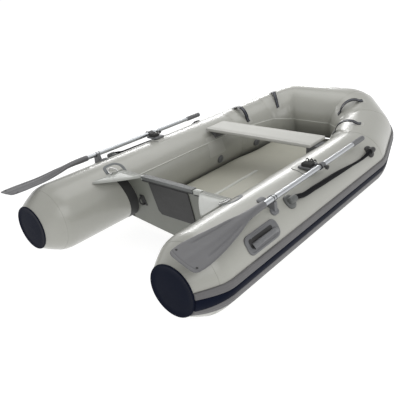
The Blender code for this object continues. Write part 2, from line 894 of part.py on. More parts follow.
def make_oarlock_base(side):
    """A patch on the tube with a boss and the upright pin that the block turns on."""
    word = side_name(side)
    base = pad_on_tube(
        f"{word}_oarlock_base", (1.045, 1.175), (63, 99), 0.0012, "board_white", side, (1, 4)
    )
    foot = on_side((PIN.x, PIN.y, TUBE_Z + TUBE_R - 0.020), side)
    shelf = on_side((PIN.x, PIN.y, BLOCK_LOW - GAP), side)
    head = on_side((PIN.x, PIN.y, BLOCK_HIGH + 0.004), side)
    boss = rod(f"{word}_boss", foot, shelf, 0.020, 20, None)
    start = on_side((TUBE_X, PIN.y - 0.1, TUBE_Z), side)
    end = on_side((TUBE_X, PIN.y + 0.1, TUBE_Z), side)
    combine(boss, "DIFFERENCE", rod(f"{word}_tube_space", start, end, TUBE_R + 0.0007, 80, None))
    combine(base, "UNION", boss)
    combine(base, "UNION", rod(f"{word}_pin", shelf - UP * 0.002, head, PIN_R, 20, None))


def make_oarlock_block(side, pivot):
    """The block that swings on the pin, bored across for the collar's trunnion."""
    word = side_name(side)
    low = on_side((PIN.x - 0.036, PIN.y - 0.042, BLOCK_LOW), side)
    high = on_side((OAR_X - COLLAR_R - 0.006, PIN.y + 0.042, BLOCK_HIGH), side)
    corners = [sorted(pair) for pair in zip(low, high)]
    block = box(
        f"{word}_oarlock_block",
        [pair[0] for pair in corners],
        [pair[1] for pair in corners],
        "fitting_grey",
        pivot,
    )
    bevel(block, 0.004, 2)
    pin = on_side(PIN, side)
    bore = rod(f"{word}_pin_bore", pin - UP * 0.1, pin + UP * 0.1, PIN_R + 0.0006, 20, None)
    start = on_side((OAR_X - COLLAR_R - 0.034, LOCK_Y, OAR_Z), side)
    end = on_side((OAR_X, LOCK_Y, OAR_Z), side)
    cross = rod(f"{word}_trunnion_bore", start, end, TRUNNION_R + 0.0009, 16, None)
    combine(block, "DIFFERENCE", bore)
    combine(block, "DIFFERENCE", cross)


def make_oar_collar(side, pivot):
    """The ring clamped on the shaft, with the trunnion that lets the oar dip."""
    word = side_name(side)
    centre = on_side((OAR_X, LOCK_Y, OAR_Z), side)
    half = Vector((0, COLLAR_LENGTH / 2, 0))
    collar = rod(
        f"{word}_oar_collar", centre - half, centre + half, COLLAR_R, 20, "fitting_grey", pivot
    )
    start = on_side((OAR_X - COLLAR_R - 0.030, LOCK_Y, OAR_Z), side)
    end = on_side((OAR_X - COLLAR_R + 0.0016, LOCK_Y, OAR_Z), side)
    combine(collar, "UNION", rod(f"{word}_trunnion", start, end, TRUNNION_R, 16, None))
    bore = rod(f"{word}_collar_bore", centre - half * 2, centre + half * 2, SLEEVE_R, 20, None)
    combine(collar, "DIFFERENCE", bore)


def make_lock_knob(side):
    """The screw knob that tightens the collar on the shaft."""
    turn = math.radians(KNOB_ANGLE)
    direction = on_side((math.cos(turn), 0, math.sin(turn)), side)
    centre = on_side((OAR_X, LOCK_Y, OAR_Z), side)
    place = centre + direction * (COLLAR_R + 0.002)
    pivot = make_empty(f"{side_name(side)}_knob_axis", place, BOAT)
    profile = [(0, 0.024), (0.0105, 0.024), (0.0125, 0.0215), (0.0125, 0.009), (0.006, 0.0075)]
    profile += [(0.006, 0), (0, 0)]
    turned(f"{side_name(side)}_lock_knob", profile, place, direction, 14, "charcoal", pivot)


def make_oar_shaft(side, pivot):
    word = side_name(side)
    start = on_side((OAR_X, SHAFT_AFT, OAR_Z), side)
    profile = [
        (SHAFT_R, GRIP_END - 0.006 - SHAFT_AFT),
        (SHAFT_R, 0),
        (SHAFT_R - SHAFT_WALL, 0),
        (SHAFT_R - SHAFT_WALL, GRIP_END - 0.006 - SHAFT_AFT),
    ]
    turned(f"{word}_oar_shaft", profile, start, (0, 1, 0), 20, "anodised", pivot)


def make_oar_grip(side, pivot):
    """A sleeve over the inboard end of the shaft."""
    length = GRIP_END - GRIP_AFT
    profile = [
        (0, length),
        (0.0125, length),
        (0.0160, length - 0.005),
        (0.0168, length - 0.012),
        (0.0162, 0.004),
        (SLEEVE_R, 0),
        (SLEEVE_R, length - 0.0045),
        (0, length - 0.0045),
    ]
    place = on_side((OAR_X, GRIP_AFT, OAR_Z), side)
    turned(f"{side_name(side)}_oar_grip", profile, place, (0, 1, 0), 18, "fitting_grey", pivot)


def blade_drop(y):
    """How far the blade's face lies under the shaft's line."""
    part = min(max((0.46 - y) / 0.30, 0), 1)
    return BLADE_DROP * part * part * (3 - 2 * part)


def make_oar_blade(side, pivot):
    """A blade that runs from a round neck to a thin broad end, bored for the shaft."""
    word = side_name(side)
    tilt = Matrix.Rotation(math.radians(BLADE_TILT[side]), 3, "Y")
    rings = []
    for y, half, depth in BLADE_OUTLINE:
        ring = []
        for i in range(18):
            turn = 2 * math.pi * i / 18
            spot = tilt @ Vector((half * math.cos(turn), 0, depth * math.sin(turn) - blade_drop(y)))
            point = Vector((OAR_X, y, OAR_Z)) + spot
            ring.append(on_side(point, side) - pivot.location)
        rings.append(ring)
    blade = loft(f"{word}_oar_blade", rings, "blade_grey", pivot)
    blade.location = (0, 0, 0)
    start = on_side((OAR_X, SHAFT_AFT - 0.002, OAR_Z), side)
    end = on_side((OAR_X, BLADE_END + 0.02, OAR_Z), side)
    combine(blade, "DIFFERENCE", rod(f"{word}_blade_bore", start, end, SLEEVE_R, 20, None))


def make_oar_clip(side):
    """A foot on the tube with a rest that the shaft lies in, open upward and outboard."""
    word = side_name(side)
    reach = (CLIP_Y - 0.026, CLIP_Y + 0.026)
    foot = pad_on_tube(f"{word}_oar_clip", reach, (43, 80), 0.006, "fitting_grey", side, (1, 6))
    shelf = OAR_Z - SHAFT_R - 0.0006
    wall = OAR_X - SHAFT_R - 0.0006
    low_in, low_out = wall - 0.021, OAR_X + 0.020
    sunk = TUBE_R + 0.004
    outline = [
        (low_in, TUBE_Z + math.sqrt(sunk**2 - (low_in - TUBE_X) ** 2)),
        (wall - 0.009, OAR_Z - 0.006),
        (wall - 0.009, OAR_Z + 0.010),
        (wall, OAR_Z + 0.010),
        (wall, shelf),
        (OAR_X + 0.016, shelf),
        (OAR_X + 0.016, shelf - 0.008),
        (low_out, TUBE_Z + math.sqrt(sunk**2 - (low_out - TUBE_X) ** 2)),
    ]
    rings = [
        [Vector((x * side, y, z)) for x, z in outline] for y in (CLIP_Y - 0.013, CLIP_Y + 0.013)
    ]
    combine(foot, "UNION", loft(f"{word}_clip_rest", rings, None))


def make_oar(side):
    word = side_name(side)
    swing = make_empty(f"{word}_oar_swing", on_side(PIN, side), BOAT)
    dip = make_empty(f"{word}_oar_lift", on_side((OAR_X, LOCK_Y, OAR_Z), side), BOAT)
    make_oarlock_base(side)
    make_oarlock_block(side, swing)
    make_oar_collar(side, dip)
    make_lock_knob(side)
    make_oar_shaft(side, dip)
    make_oar_grip(side, dip)
    make_oar_blade(side, dip)
    make_oar_clip(side)


# ---------- the boat ----------

clear_scene()
PARTS = make_collection("inflatable_dinghy")
CUTTERS = make_collection("cutters")
MATERIALS = {name: make_finish(name) for name in FINISHES}
BOAT = make_empty("boat", (0, -MIDDLE_Y, -GROUND_Z))

make_bow_front()
make_bow_baffle()
make_rubbing_strake()
make_hull_bottom()
make_keel_tube()
make_air_floor()
make_transom_board()
make_transom_cap()
make_motor_pad()
make_drain_plug()
make_seat()
make_valve("keel_valve", 1, 0.378, 195.5, -1)
for SIDE in (-1, 1):
    make_side_gores(SIDE)
    make_stern(SIDE)
    make_gusset(SIDE)
    make_lifting_ring(SIDE)
    make_towing_eye(SIDE)
    make_seat_bracket(SIDE)
    make_valve(f"{side_name(SIDE)}_valve", 0, 1.509 / BEND_1.y, 192, SIDE)
    make_carry_handle(SIDE)
    make_rope_fitting("aft", *AFT_FITTING, 1, SIDE)
    make_rope_fitting("fore", *FORE_FITTING, -1, SIDE)
    make_lifeline(SIDE)
    make_grab_strap("aft", 1, 0.33, (84, 139), SIDE)
    make_grab_strap("fore", 2, 0.42, (87, 145), SIDE)
    make_oar(SIDE)
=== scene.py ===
import json
from math import ceil, cos, degrees, exp, inf, pi, radians, sin, sqrt

import bmesh
import bpy
from mathutils import Matrix, Vector

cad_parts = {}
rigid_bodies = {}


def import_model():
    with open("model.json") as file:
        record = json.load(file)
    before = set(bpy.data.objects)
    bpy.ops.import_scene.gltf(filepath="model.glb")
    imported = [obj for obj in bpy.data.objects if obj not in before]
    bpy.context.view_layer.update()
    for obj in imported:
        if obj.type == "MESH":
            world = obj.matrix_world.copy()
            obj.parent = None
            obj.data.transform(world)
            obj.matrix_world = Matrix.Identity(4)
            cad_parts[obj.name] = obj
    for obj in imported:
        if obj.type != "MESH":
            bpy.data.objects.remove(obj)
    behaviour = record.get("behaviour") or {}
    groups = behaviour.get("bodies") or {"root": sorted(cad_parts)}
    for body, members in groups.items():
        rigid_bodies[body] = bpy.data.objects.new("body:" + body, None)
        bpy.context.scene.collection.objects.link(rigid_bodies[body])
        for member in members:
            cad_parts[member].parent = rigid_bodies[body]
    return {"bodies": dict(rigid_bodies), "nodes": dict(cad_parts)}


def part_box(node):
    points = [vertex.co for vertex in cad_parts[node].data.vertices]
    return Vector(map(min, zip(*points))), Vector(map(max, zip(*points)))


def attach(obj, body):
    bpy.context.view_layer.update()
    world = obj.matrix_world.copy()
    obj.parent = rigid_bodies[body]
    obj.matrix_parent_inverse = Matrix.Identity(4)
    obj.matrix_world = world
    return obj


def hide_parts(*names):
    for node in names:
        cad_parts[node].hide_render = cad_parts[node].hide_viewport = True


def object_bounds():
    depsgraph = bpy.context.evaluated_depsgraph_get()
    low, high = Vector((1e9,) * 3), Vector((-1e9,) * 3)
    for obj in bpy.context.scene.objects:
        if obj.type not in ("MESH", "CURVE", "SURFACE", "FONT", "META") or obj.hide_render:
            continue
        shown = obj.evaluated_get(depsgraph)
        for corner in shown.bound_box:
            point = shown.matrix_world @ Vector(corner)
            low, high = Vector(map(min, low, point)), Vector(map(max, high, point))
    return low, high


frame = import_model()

CAD_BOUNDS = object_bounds()
UP = Vector((0, 0, 1))
FORE = Vector((0, 1, 0))
SIDES = (1, -1)

# Everything below is worked out in the part's stern frame: x to starboard, y forward of the stern
# and z above the lowest line of the side tubes. ORIGIN turns that into the row frame.
ORIGIN = Vector((0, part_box("starboard_end_cap")[0].y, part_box("starboard_side_tube")[0].z))


def node_box(node):
    low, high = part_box(node)
    return low - ORIGIN, high - ORIGIN


def mm(*rows):
    """Rows of millimetres, as metres."""
    return [tuple(value / 1000 for value in row) for row in rows]


def mm_last(*rows):
    """Rows whose last value is in millimetres; angles, shares and metres before it stay."""
    return [(*row[:-1], row[-1] / 1000) for row in rows]


# the tubes: their round section, and where their middle line bends on its way to the bow
TUBE_LOW, TUBE_HIGH = node_box("starboard_side_tube")
TUBE_R = (TUBE_HIGH.z - TUBE_LOW.z) / 2
TUBE_X = TUBE_HIGH.x - TUBE_R
TUBE_Z = TUBE_R
TUBE_SIDES = 96
TUBE_TURNS = [360 * k / TUBE_SIDES for k in range(TUBE_SIDES)]
BEND_1 = Vector((TUBE_X, 1.84, TUBE_Z))
BEND_2 = Vector((0.443, 2.251, 0.255))
BEND_3 = Vector((0.252, 2.45, 0.329))
FILLET = 0.055
CONE_END = TUBE_LOW.y
CAP_R = 0.128
CAP_RIM = 0.004
CAP_DEPTH = node_box("starboard_end_cap")[1].y
SKIN = 0.0009  # the fabric's thickness
EDGE_SINK = -0.0005  # how far a band's edges go into the skin
STATION_GAP = 0.05  # between the rings of a tube
FILL_STEP = 0.014  # between the rings of a patch

# the bottom, the board between the tubes, and where the lifting rings hinge
HULL_LOW = node_box("hull_bottom")[0].z
BOTTOM_ANGLE = -101.0
TRANSOM_TOP = node_box("transom_board")[1].z
TRANSOM_Y = node_box("transom_board")[0].y
RAKE = 0.28
BOARD_DEPTH = 0.028
RING_X, RING_Z = 0.423, 0.3805

# the stowed oar's middle line, the oarlock and its pin, and the rest with its feet's angles
OAR_X = 0.68
OAR_Z = 0.43
OAR_TIP = node_box("starboard_oar_blade")[0].y
LOCK_Y = 1.13
PIN = Vector((0.6, 1.11, OAR_Z))
CLIP_Y = 0.63
CLIP_ANGLES = (73.5, 50)

ROPE_R = 0.0075
ROPE_SINK = 0.0215  # height of the rope's middle in its fittings
ROPE_STOPS = mm_last(
    # y, angle up from outboard, height of the rope's middle over the tube
    (0.774, 48, 21.5), (0.8, 48, 21.5), (0.83, 47, 19), (0.87, 44.8, 12), (0.92, 43.8, 9.5), (0.98, 43.6, 9),
    (1.06, 42.6, 9), (1.15, 41.9, 9), (1.24, 40.9, 9), (1.33, 39.6, 9), (1.42, 38.2, 9), (1.5, 36.8, 9),
    (1.56, 36.2, 9.5), (1.61, 36.6, 13), (1.645, 37.8, 19.5), (1.672, 38.5, 21.5), (1.699, 38.5, 21.5),
)


# ---------- places ----------

def on_side(point, side):
    return Vector((point[0] * side, point[1], point[2]))


def side_name(side):
    return "starboard" if side > 0 else "port"


def outboard_and_up(direction):
    outboard = direction.cross(UP).normalized()
    return outboard, outboard.cross(direction)


def ring_point(centre, ring_normal, axis, angle, radius):
    """The point at an angle up from outboard where a plane through centre meets a round tube."""
    outboard, up = outboard_and_up(ring_normal)
    turn = radians(angle)
    ray = outboard * cos(turn) + up * sin(turn)
    across = ray.dot(axis)
    return centre + ray * (radius / sqrt(1 - across * across))


def segment(i):
    """The start, end and direction of one straight length of the tube path, aft to port bow."""
    first = Vector((TUBE_X, 0, TUBE_Z))
    stops = (first, BEND_1, BEND_2, BEND_3, on_side(BEND_3, -1), on_side(BEND_2, -1))
    start, end = stops[i], stops[i + 1]
    return start, end, (end - start).normalized()


def length_of(i):
    start, end, _ = segment(i)
    return (end - start).length


def seam_normal(i):
    """The normal of the mitre plane between length i and the next."""
    return (segment(i)[2] + segment(i + 1)[2]).normalized()


def lean(i, normal):
    """How far a mitre plane leans from square across length i."""
    axis = segment(i)[2]
    return normal / normal.dot(axis) - axis


def bezier(a, b, c, t):
    return a * (1 - t) ** 2 + b * (2 * t * (1 - t)) + c * t * t


def path_frame(i, run):
    """Centre, ring normal and axis at a distance along length i, rounded at its bends."""
    start, end, axis = segment(i)
    length = (end - start).length
    part = run / length
    first = lean(i, seam_normal(i - 1)) if i else Vector()
    normal = axis + first * (1 - part) + lean(i, seam_normal(i)) * (part if i else part**4)
    centre, direction = start + axis * run, axis
    if i and run < FILLET:
        before, t = segment(i - 1)[2], 0.5 + run / (2 * FILLET)
        centre = bezier(start - before * FILLET, start, start + axis * FILLET, t)
        direction = before.lerp(axis, t)
    if run > length - FILLET:
        after, t = segment(i + 1)[2], (run - length + FILLET) / (2 * FILLET)
        centre = bezier(end - axis * FILLET, end, end + after * FILLET, t)
        direction = axis.lerp(after, t)
    return centre, normal.normalized(), direction.normalized()


def hull_point(i, run, angle, height):
    """A point at a height over the tube's skin, anywhere along the hull's path."""
    radius = cone_radius(run) if i == 0 and run < CONE_END else TUBE_R
    return ring_point(*path_frame(i, run), angle, radius + height)


def cone_radius(y):
    part = (y - CAP_DEPTH) / (CONE_END - CAP_DEPTH)
    return CAP_R + (TUBE_R - CAP_R) * sin(part * pi / 2)


def side_point(y, angle, radius):
    start, _, axis = segment(0)
    return ring_point(start + axis * y, axis, axis, angle, radius)


def raked_y(z):
    """The board's aft face at height z."""
    return TRANSOM_Y + (TRANSOM_TOP - z) * RAKE


def tube_inner_x(z, clear=0.0):
    """The side tube's inboard wall at height z."""
    return TUBE_X - sqrt(max((TUBE_R + clear) ** 2 - (z - TUBE_Z) ** 2, 0))


def between(low, high, count):
    return [low + (high - low) * k / (count - 1) for k in range(count)]


def runs(i, low=0.0):
    """Distances along length i, closer together at its bends."""
    length = length_of(i)
    ends = between(0, FILLET, 6)
    first = ends if i else [low]
    count = max(3, int((length - FILLET - first[-1]) / STATION_GAP) + 1)
    middle = between(first[-1], length - FILLET, count)
    return first[:-1] + middle + [length - gap for gap in reversed(ends[:-1])]


def smooth_points(stops, per_span, closed=False):
    """A Catmull-Rom curve through the stops."""
    count, last = len(stops), len(stops) - 1
    found = []
    for i in range(count if closed else last):
        near = [(i + k) % count if closed else max(0, min(last, i + k)) for k in (-1, 0, 1, 2)]
        a, b, c, d = (stops[k] for k in near)
        for step in range(per_span):
            t = step / per_span
            cubic = (3 * b - a - 3 * c + d) * t * t * t
            found.append(0.5 * (2 * b + (c - a) * t + (2 * a - 5 * b + 4 * c - d) * t * t + cubic))
    return found if closed else found + [stops[-1]]


# ---------- materials ----------

def linear(*levels):
    return [((v / 255 + 0.055) / 1.055) ** 2.4 if v > 10 else v / 255 / 12.92 for v in levels]


def feed(tree, node, sockets):
    """Gives a node's sockets their values, or the outputs that drive them."""
    for name, value in sockets.items():
        if isinstance(value, bpy.types.NodeSocket):
            tree.links.new(value, node.inputs[name])
        else:
            node.inputs[name].default_value = value


def add_node(tree, kind, sockets):
    node = tree.nodes.new(f"ShaderNode{kind}")
    feed(tree, node, sockets)
    return node


def make_material(name, colour, rough, grain, mottle, relief, weave, coat, gloss=0.5):
    """Colour that drifts slowly, a fine grain or weave in relief, and a roughness that varies."""
    made = bpy.data.materials.new(name)
    made.use_nodes = True
    tree = made.node_tree
    coords = add_node(tree, "TexCoord", {}).outputs["Object"]

    def noise(scale):
        return add_node(tree, "TexNoise", {"Scale": scale, "Detail": 3.0, "Vector": coords}).outputs["Fac"]

    def spread(scale, low, high):
        sockets = {"From Min": 0.3, "From Max": 0.7, "To Min": low, "To Max": high, "Value": noise(scale)}
        return add_node(tree, "MapRange", sockets).outputs["Result"]

    def bump(height, strength, below):
        sockets = {"Strength": strength, "Distance": relief, "Height": height, **below}
        return {"Normal": add_node(tree, "Bump", sockets).outputs["Normal"]}

    base = linear(*colour)
    dark, light = ([min(1, v * (1 + way * mottle)) for v in base] + [1] for way in (-1, 1))
    mixed = tree.nodes.new("ShaderNodeMix")
    mixed.data_type = "RGBA"
    feed(tree, mixed, {"A": dark, "B": light, "Factor": spread(7, 0, 1)})
    normal = bump(noise(grain), 0.5, {})
    for direction in "XYZ" if weave else "":
        wave = add_node(tree, "TexWave", {"Scale": weave, "Vector": coords})
        wave.bands_direction = direction
        normal = bump(wave.outputs["Fac"], 0.15, normal)
    finish = {
        "Base Color": mixed.outputs["Result"],
        "Roughness": spread(31, rough * 0.96, rough * 1.04),
        "Metallic": 1.0 if name in METALS else 0.0,
        "Specular IOR Level": gloss,
        "Coat Weight": coat,
        "Coat Roughness": 0.2,
    }
    feed(tree, tree.nodes["Principled BSDF"], finish | normal)
    return made


METALS = ("anodised", "stainless")
FINISHES = {
    # name: colour, roughness, grain, mottle, relief, weave, coat, specular level
    "pvc_light": ((157, 157, 150), 0.33, 900, 0.02, 0.00005, 260, 0.45),
    "keel_pvc": ((140, 140, 130), 0.45, 900, 0.04, 0.0001, 260, 0.0),
    "pvc_navy": ((13, 18, 33), 0.5, 900, 0.1, 0.0001, 260, 0.0, 0.04),
    "strake_grey": ((96, 95, 96), 0.5, 700, 0.06, 0.0003, 0, 0.0, 0.35),
    "floor_cream": ((170, 169, 157), 0.42, 900, 0.03, 0.0001, 260, 0.0),
    "board_white": ((158, 160, 155), 0.4, 500, 0.03, 0.0001, 0, 0.1),
    # the board's own pale paint, darker here: painted shade on the transom's aft face
    "board_painted_shade": ((106, 108, 101), 0.45, 500, 0.04, 0.0002, 0, 0.0),
    # seam fabric made lighter than the tubes: painted highlight along the inner welt and the floor's ridge
    "welt_painted_highlight": ((190, 191, 185), 0.3, 900, 0.03, 0.0001, 0, 0.3),
    "patch_light": ((166, 166, 160), 0.4, 900, 0.03, 0.0001, 260, 0.0),
    "charcoal": ((50, 50, 50), 0.55, 1400, 0.08, 0.0004, 0, 0.0, 0.3),
    "rail_grey": ((86, 88, 87), 0.48, 1400, 0.06, 0.0003, 0, 0.0),
    "fitting_grey": ((101, 102, 104), 0.46, 1400, 0.06, 0.0003, 0, 0.0),
    "blade_grey": ((93, 93, 95), 0.46, 1400, 0.04, 0.0003, 0, 0.0),
    "anodised": ((188, 191, 194), 0.32, 2500, 0.03, 0.0001, 0, 0.0),
    "seat_white": ((184, 184, 179), 0.55, 700, 0.02, 0.0001, 0, 0.0, 0.15),
    "stainless": ((205, 205, 205), 0.18, 2500, 0.03, 0.0001, 0, 0.0),
    "black_web": ((11, 13, 22), 0.36, 1200, 0.12, 0.0002, 420, 0.15),
    "rope_black": ((11, 12, 15), 0.66, 1200, 0.15, 0.0004, 300, 0.0, 0.12),
    "stripe_light": ((74, 78, 90), 0.5, 1200, 0.08, 0.0002, 420, 0.0),
    "band_grey": ((96, 100, 102), 0.48, 1200, 0.06, 0.0003, 300, 0.0),
}
MATERIALS = {name: make_material(name, *finish) for name, finish in FINISHES.items()}


# ---------- making pieces ----------

def place_object(name, data):
    made = bpy.data.objects.new(name, data)
    bpy.context.scene.collection.objects.link(made)
    return made


def finish_piece(piece, material, body, replaces):
    piece.data.materials.clear()
    piece.data.materials.append(MATERIALS[material])
    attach(piece, body)
    if replaces:
        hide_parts(*replaces)
    return piece


def add_piece(name, bm, material, body="hull", replaces=(), sharp=40, wall=0.0):
    """A mesh in stern coordinates, put in the row frame and hung on a CAD body."""
    bmesh.ops.recalc_face_normals(bm, faces=bm.faces)
    bmesh.ops.translate(bm, verts=bm.verts, vec=ORIGIN)
    bm.edges.index_update()
    rims = [edge.index for edge in bm.edges if wall and edge.is_boundary]
    mesh = bpy.data.meshes.new(name)
    bm.to_mesh(mesh)
    bm.free()
    mesh.shade_smooth()
    mesh.set_sharp_from_angle(angle=radians(sharp))
    for index in rims:  # so that a skin's cut end doesn't tilt its outer normals
        mesh.edges[index].use_edge_sharp = True
    piece = place_object(name, mesh)
    if wall:
        solid = piece.modifiers.new("wall", "SOLIDIFY")
        solid.thickness = wall
        solid.offset = -1
    return finish_piece(piece, material, body, replaces)


def loft_mesh(rings, closed=True, caps=True, bm=None, loop=False):
    """Faces between rings that have the same number of points; loop joins the last to the first."""
    bm = bm or bmesh.new()
    rows = [[bm.verts.new(point) for point in ring] for ring in rings]
    count = len(rows[0])
    for near, far in zip(rows, rows[1:] + rows[:1] if loop else rows[1:]):
        for i in range(count if closed else count - 1):
            j = (i + 1) % count
            bm.faces.new((near[i], near[j], far[j], far[i]))
    if caps and not loop:
        bm.faces.new(rows[0])
        bm.faces.new(rows[-1])
    return bm


def mirrored(rings, side):
    return [[on_side(point, side) for point in ring] for ring in rings]


def loft(name, rings, material, closed=True, caps=True, side=1, **how):
    return add_piece(name, loft_mesh(mirrored(rings, side), closed, caps), material, **how)


def circle(sides):
    return [2 * pi * k / sides for k in range(sides)]


def turned_mesh(profile, place, direction, sides=48, lobes=0, depth=0.0, bm=None):
    """A profile of (radius, height) turned about direction; lobes ripple its widest part."""
    matrix = Matrix.Translation(place) @ UP.rotation_difference(Vector(direction)).to_matrix().to_4x4()
    widest = max(radius for radius, _ in profile)
    rings = []
    for radius, height in profile:
        ring = []
        for turn in circle(sides):
            ripple = depth * cos(lobes * turn) * (radius > widest * 0.8)
            reach = max(radius, 0.00005) + ripple
            ring.append(matrix @ Vector((reach * cos(turn), reach * sin(turn), height)))
        rings.append(ring)
    return loft_mesh(rings, bm=bm)


def turned(name, profile, place, direction, material, sides=48, lobes=0, depth=0.0, **how):
    return add_piece(name, turned_mesh(profile, place, direction, sides, lobes, depth), material, **how)


def sweep_mesh(points, radii, sides, bm=None):
    """A round bar along points; radii is one radius, or a list with one for each point."""
    points = [Vector(point) for point in points]
    if not isinstance(radii, list):
        radii = [radii] * len(points)
    side = (points[1] - points[0]).normalized().orthogonal().normalized()
    rings = []
    for k, (point, radius) in enumerate(zip(points, radii)):
        ahead = points[min(k + 1, len(points) - 1)]
        axis = (ahead - points[max(k - 1, 0)]).normalized()
        side = (side - axis * side.dot(axis)).normalized()
        other = axis.cross(side)
        turns = circle(sides)
        rings.append([point + side * radius * cos(t) + other * radius * sin(t) for t in turns])
    return loft_mesh(rings, bm=bm)


def ring_mesh(points, radius):
    """A closed loop of round bar through points that lie in one plane."""
    count = len(points)
    middle = sum(points, Vector()) / count
    normal = (points[0] - middle).cross(points[count // 4] - middle).normalized()
    rings = []
    for k, point in enumerate(points):
        out = (points[(k + 1) % count] - points[k - 1]).normalized().cross(normal)
        rings.append([point + (out * cos(t) + normal * sin(t)) * radius for t in circle(12)])
    return loft_mesh(rings, loop=True)


def box_mesh(low, high, edge, bm=None):
    """A box with rounded edges."""
    bm = bm or bmesh.new()
    low, high = Vector(low), Vector(high)
    made = bmesh.ops.create_cube(bm, size=1)["verts"]
    for vert in made:
        vert.co = [low[i] + (vert.co[i] + 0.5) * (high[i] - low[i]) for i in range(3)]
    edges = list({e for vert in made for e in vert.link_edges})
    bmesh.ops.bevel(bm, geom=edges, offset=edge, segments=3, profile=0.5, affect="EDGES")
    return bm


def side_box(side, low, high, edge, bm=None):
    """A rounded box given for starboard."""
    near, far = sorted((low[0] * side, high[0] * side))
    return box_mesh((near, *low[1:]), (far, *high[1:]), edge, bm)


def rounded_box(half_u, half_v, corner, step=0.012):
    """The border of a rounded rectangle, as a function of how far it is drawn in."""
    along = max(1, ceil(2 * (half_u - corner) / step))
    up = max(1, ceil(2 * (half_v - corner) / step))

    def border(inset):
        u, v = max(half_u - inset, 0.0006), max(half_v - inset, 0.0006)
        c = min(max(corner - inset, 0.0004), u, v)
        arcs = []
        for n, (cu, cv) in enumerate(((u - c, v - c), (c - u, v - c), (c - u, c - v), (u - c, c - v))):
            turns = [pi / 2 * (n + k / 5) for k in range(6)]
            arcs.append([(cu + c * cos(t), cv + c * sin(t)) for t in turns])
        found = []
        for n, arc in enumerate(arcs):
            (lu, lv), (nu, nv) = arc[-1], arcs[(n + 1) % 4][0]
            shares = between(0, 1, (up if n % 2 else along) + 1)[1:-1]
            found += arc + [(lu + (nu - lu) * t, lv + (nv - lv) * t) for t in shares]
        return found

    return border


def shape(points, per_span=4):
    """A smooth closed border through points, drawn in by a share towards its middle."""
    found = smooth_points([Vector(p) for p in points], per_span, closed=True)
    middle = sum(found, Vector((0, 0))) / len(found)
    return lambda share: [tuple(p.lerp(middle, share)) for p in found]


def relief_mesh(at, border, layers, bm=None):
    return loft_mesh([[at(u, v, height) for u, v in border(inset)] for inset, height in layers], bm=bm)


def relief(name, at, border, layers, material, **how):
    """A low closed shape; layers are (how far drawn in, height) from its foot to its middle."""
    return add_piece(name, relief_mesh(at, border, layers), material, **how)


def filled(layers, half):
    """The layers, carried on level to the middle so that the shape follows a curved wall."""
    inset, height = layers[-1]
    found = list(layers)
    while inset + FILL_STEP < half:
        inset += FILL_STEP
        found.append((inset, height))
    return found


def patch_layers(depth, half):
    return filled([(0, -0.0012), (0, depth * 0.6), (0.0015, depth), (0.0045, depth)], half)


def on_tube(y, angle, side):
    """Places near a point of the side tube: along it, up round it, and off it."""
    return lambda u, v, h: on_side(side_point(y + u, angle + degrees(v / TUBE_R), TUBE_R + h), side)


def on_length(i, run, angle, side):
    return lambda u, v, h: on_side(hull_point(i, run + u, angle + degrees(v / TUBE_R), h), side)


def on_transom(x, z):
    return lambda u, v, h: Vector((x + u, raked_y(z + v) - h, z + v))


def dress(node, material, edge=0.0):
    """A CAD node whose shape is right keeps it, and gets its finish and rounded edges."""
    found = frame["nodes"][node]
    found.data.materials.clear()
    found.data.materials.append(MATERIALS[material])
    if edge:
        rounded = found.modifiers.new("edges", "BEVEL")
        rounded.width = edge
        rounded.segments = 2
        rounded.limit_method = "ANGLE"
        rounded.angle_limit = radians(40)


# ---------- camera and lifelines ----------

CAMERA_PLACE = Vector((1.879, -1.219, 1.461))
CAMERA_TURNS = (42.247, 24.795, -5.075)  # azimuth, elevation and roll
CAMERA_LENS = 44.27


def make_camera():
    data = bpy.data.cameras.new("camera")
    camera = place_object("camera", data)
    azimuth, elevation, roll = (radians(v) for v in CAMERA_TURNS)
    flat = cos(elevation)
    back = Vector((sin(azimuth) * flat, -cos(azimuth) * flat, sin(elevation)))
    across = (-back).cross(UP).normalized()
    above = across.cross(-back)
    right = across * cos(roll) + above * sin(roll)
    top = above * cos(roll) - across * sin(roll)
    camera.matrix_world = Matrix((right, top, back)).transposed().to_4x4()
    camera.location = CAMERA_PLACE + ORIGIN
    data.sensor_width = 36
    data.lens = CAMERA_LENS
    bpy.context.scene.camera = camera


def rope_points(side, radius, low=0.0, high=inf):
    """The lifeline's path, lifted so that a line of this radius just rests on the tube."""
    stops = [row for row in ROPE_STOPS if low <= row[0] <= high]
    lift = radius + 0.001
    places = [on_side(side_point(y, angle, TUBE_R + max(rise, lift)), side) for y, angle, rise in stops]
    return smooth_points(places, 2)


SLEEVES = (
    # name, first y, last y, radius at each quarter
    ("aft", 0.79, 1.43, (0.0135, 0.0135, 0.0138, 0.0145, 0.014, 0.0082)),
    ("fore", 1.55, 1.69, (0.008, 0.0095, 0.012, 0.013)),
)


def make_sleeve(side, name, low, high, radii):
    """The thick rubber sleeve that a hand holds, over one end of the lifeline."""
    places = rope_points(side, radii[1], low, high)
    widths = []
    for k in range(len(places)):
        part = k / (len(places) - 1) * (len(radii) - 1)
        n = min(int(part), len(radii) - 2)
        widths.append(radii[n] + (radii[n + 1] - radii[n]) * (part - n))
    return add_piece(f"{side_name(side)}_{name}_rope_sleeve", sweep_mesh(places, widths, 20), "rope_black")


def make_lifeline(side):
    word = side_name(side)
    points = [point + ORIGIN for point in rope_points(side, ROPE_R)]
    curve = bpy.data.curves.new(f"{word}_rope", "CURVE")
    curve.dimensions = "3D"
    spline = curve.splines.new("POLY")
    spline.points.add(len(points) - 1)
    for spot, point in zip(spline.points, points):
        spot.co = (*point, 1)
    curve.bevel_depth = ROPE_R
    curve.bevel_resolution = 4
    curve.use_fill_caps = True
    rope = place_object(f"{word}_rope", curve)
    finish_piece(rope, "rope_black", "hull", [f"{word}_lifeline"])
    [make_sleeve(side, *row) for row in SLEEVES]


make_camera()
for SIDE in SIDES:
    make_lifeline(SIDE)


# ---------- tubes ----------

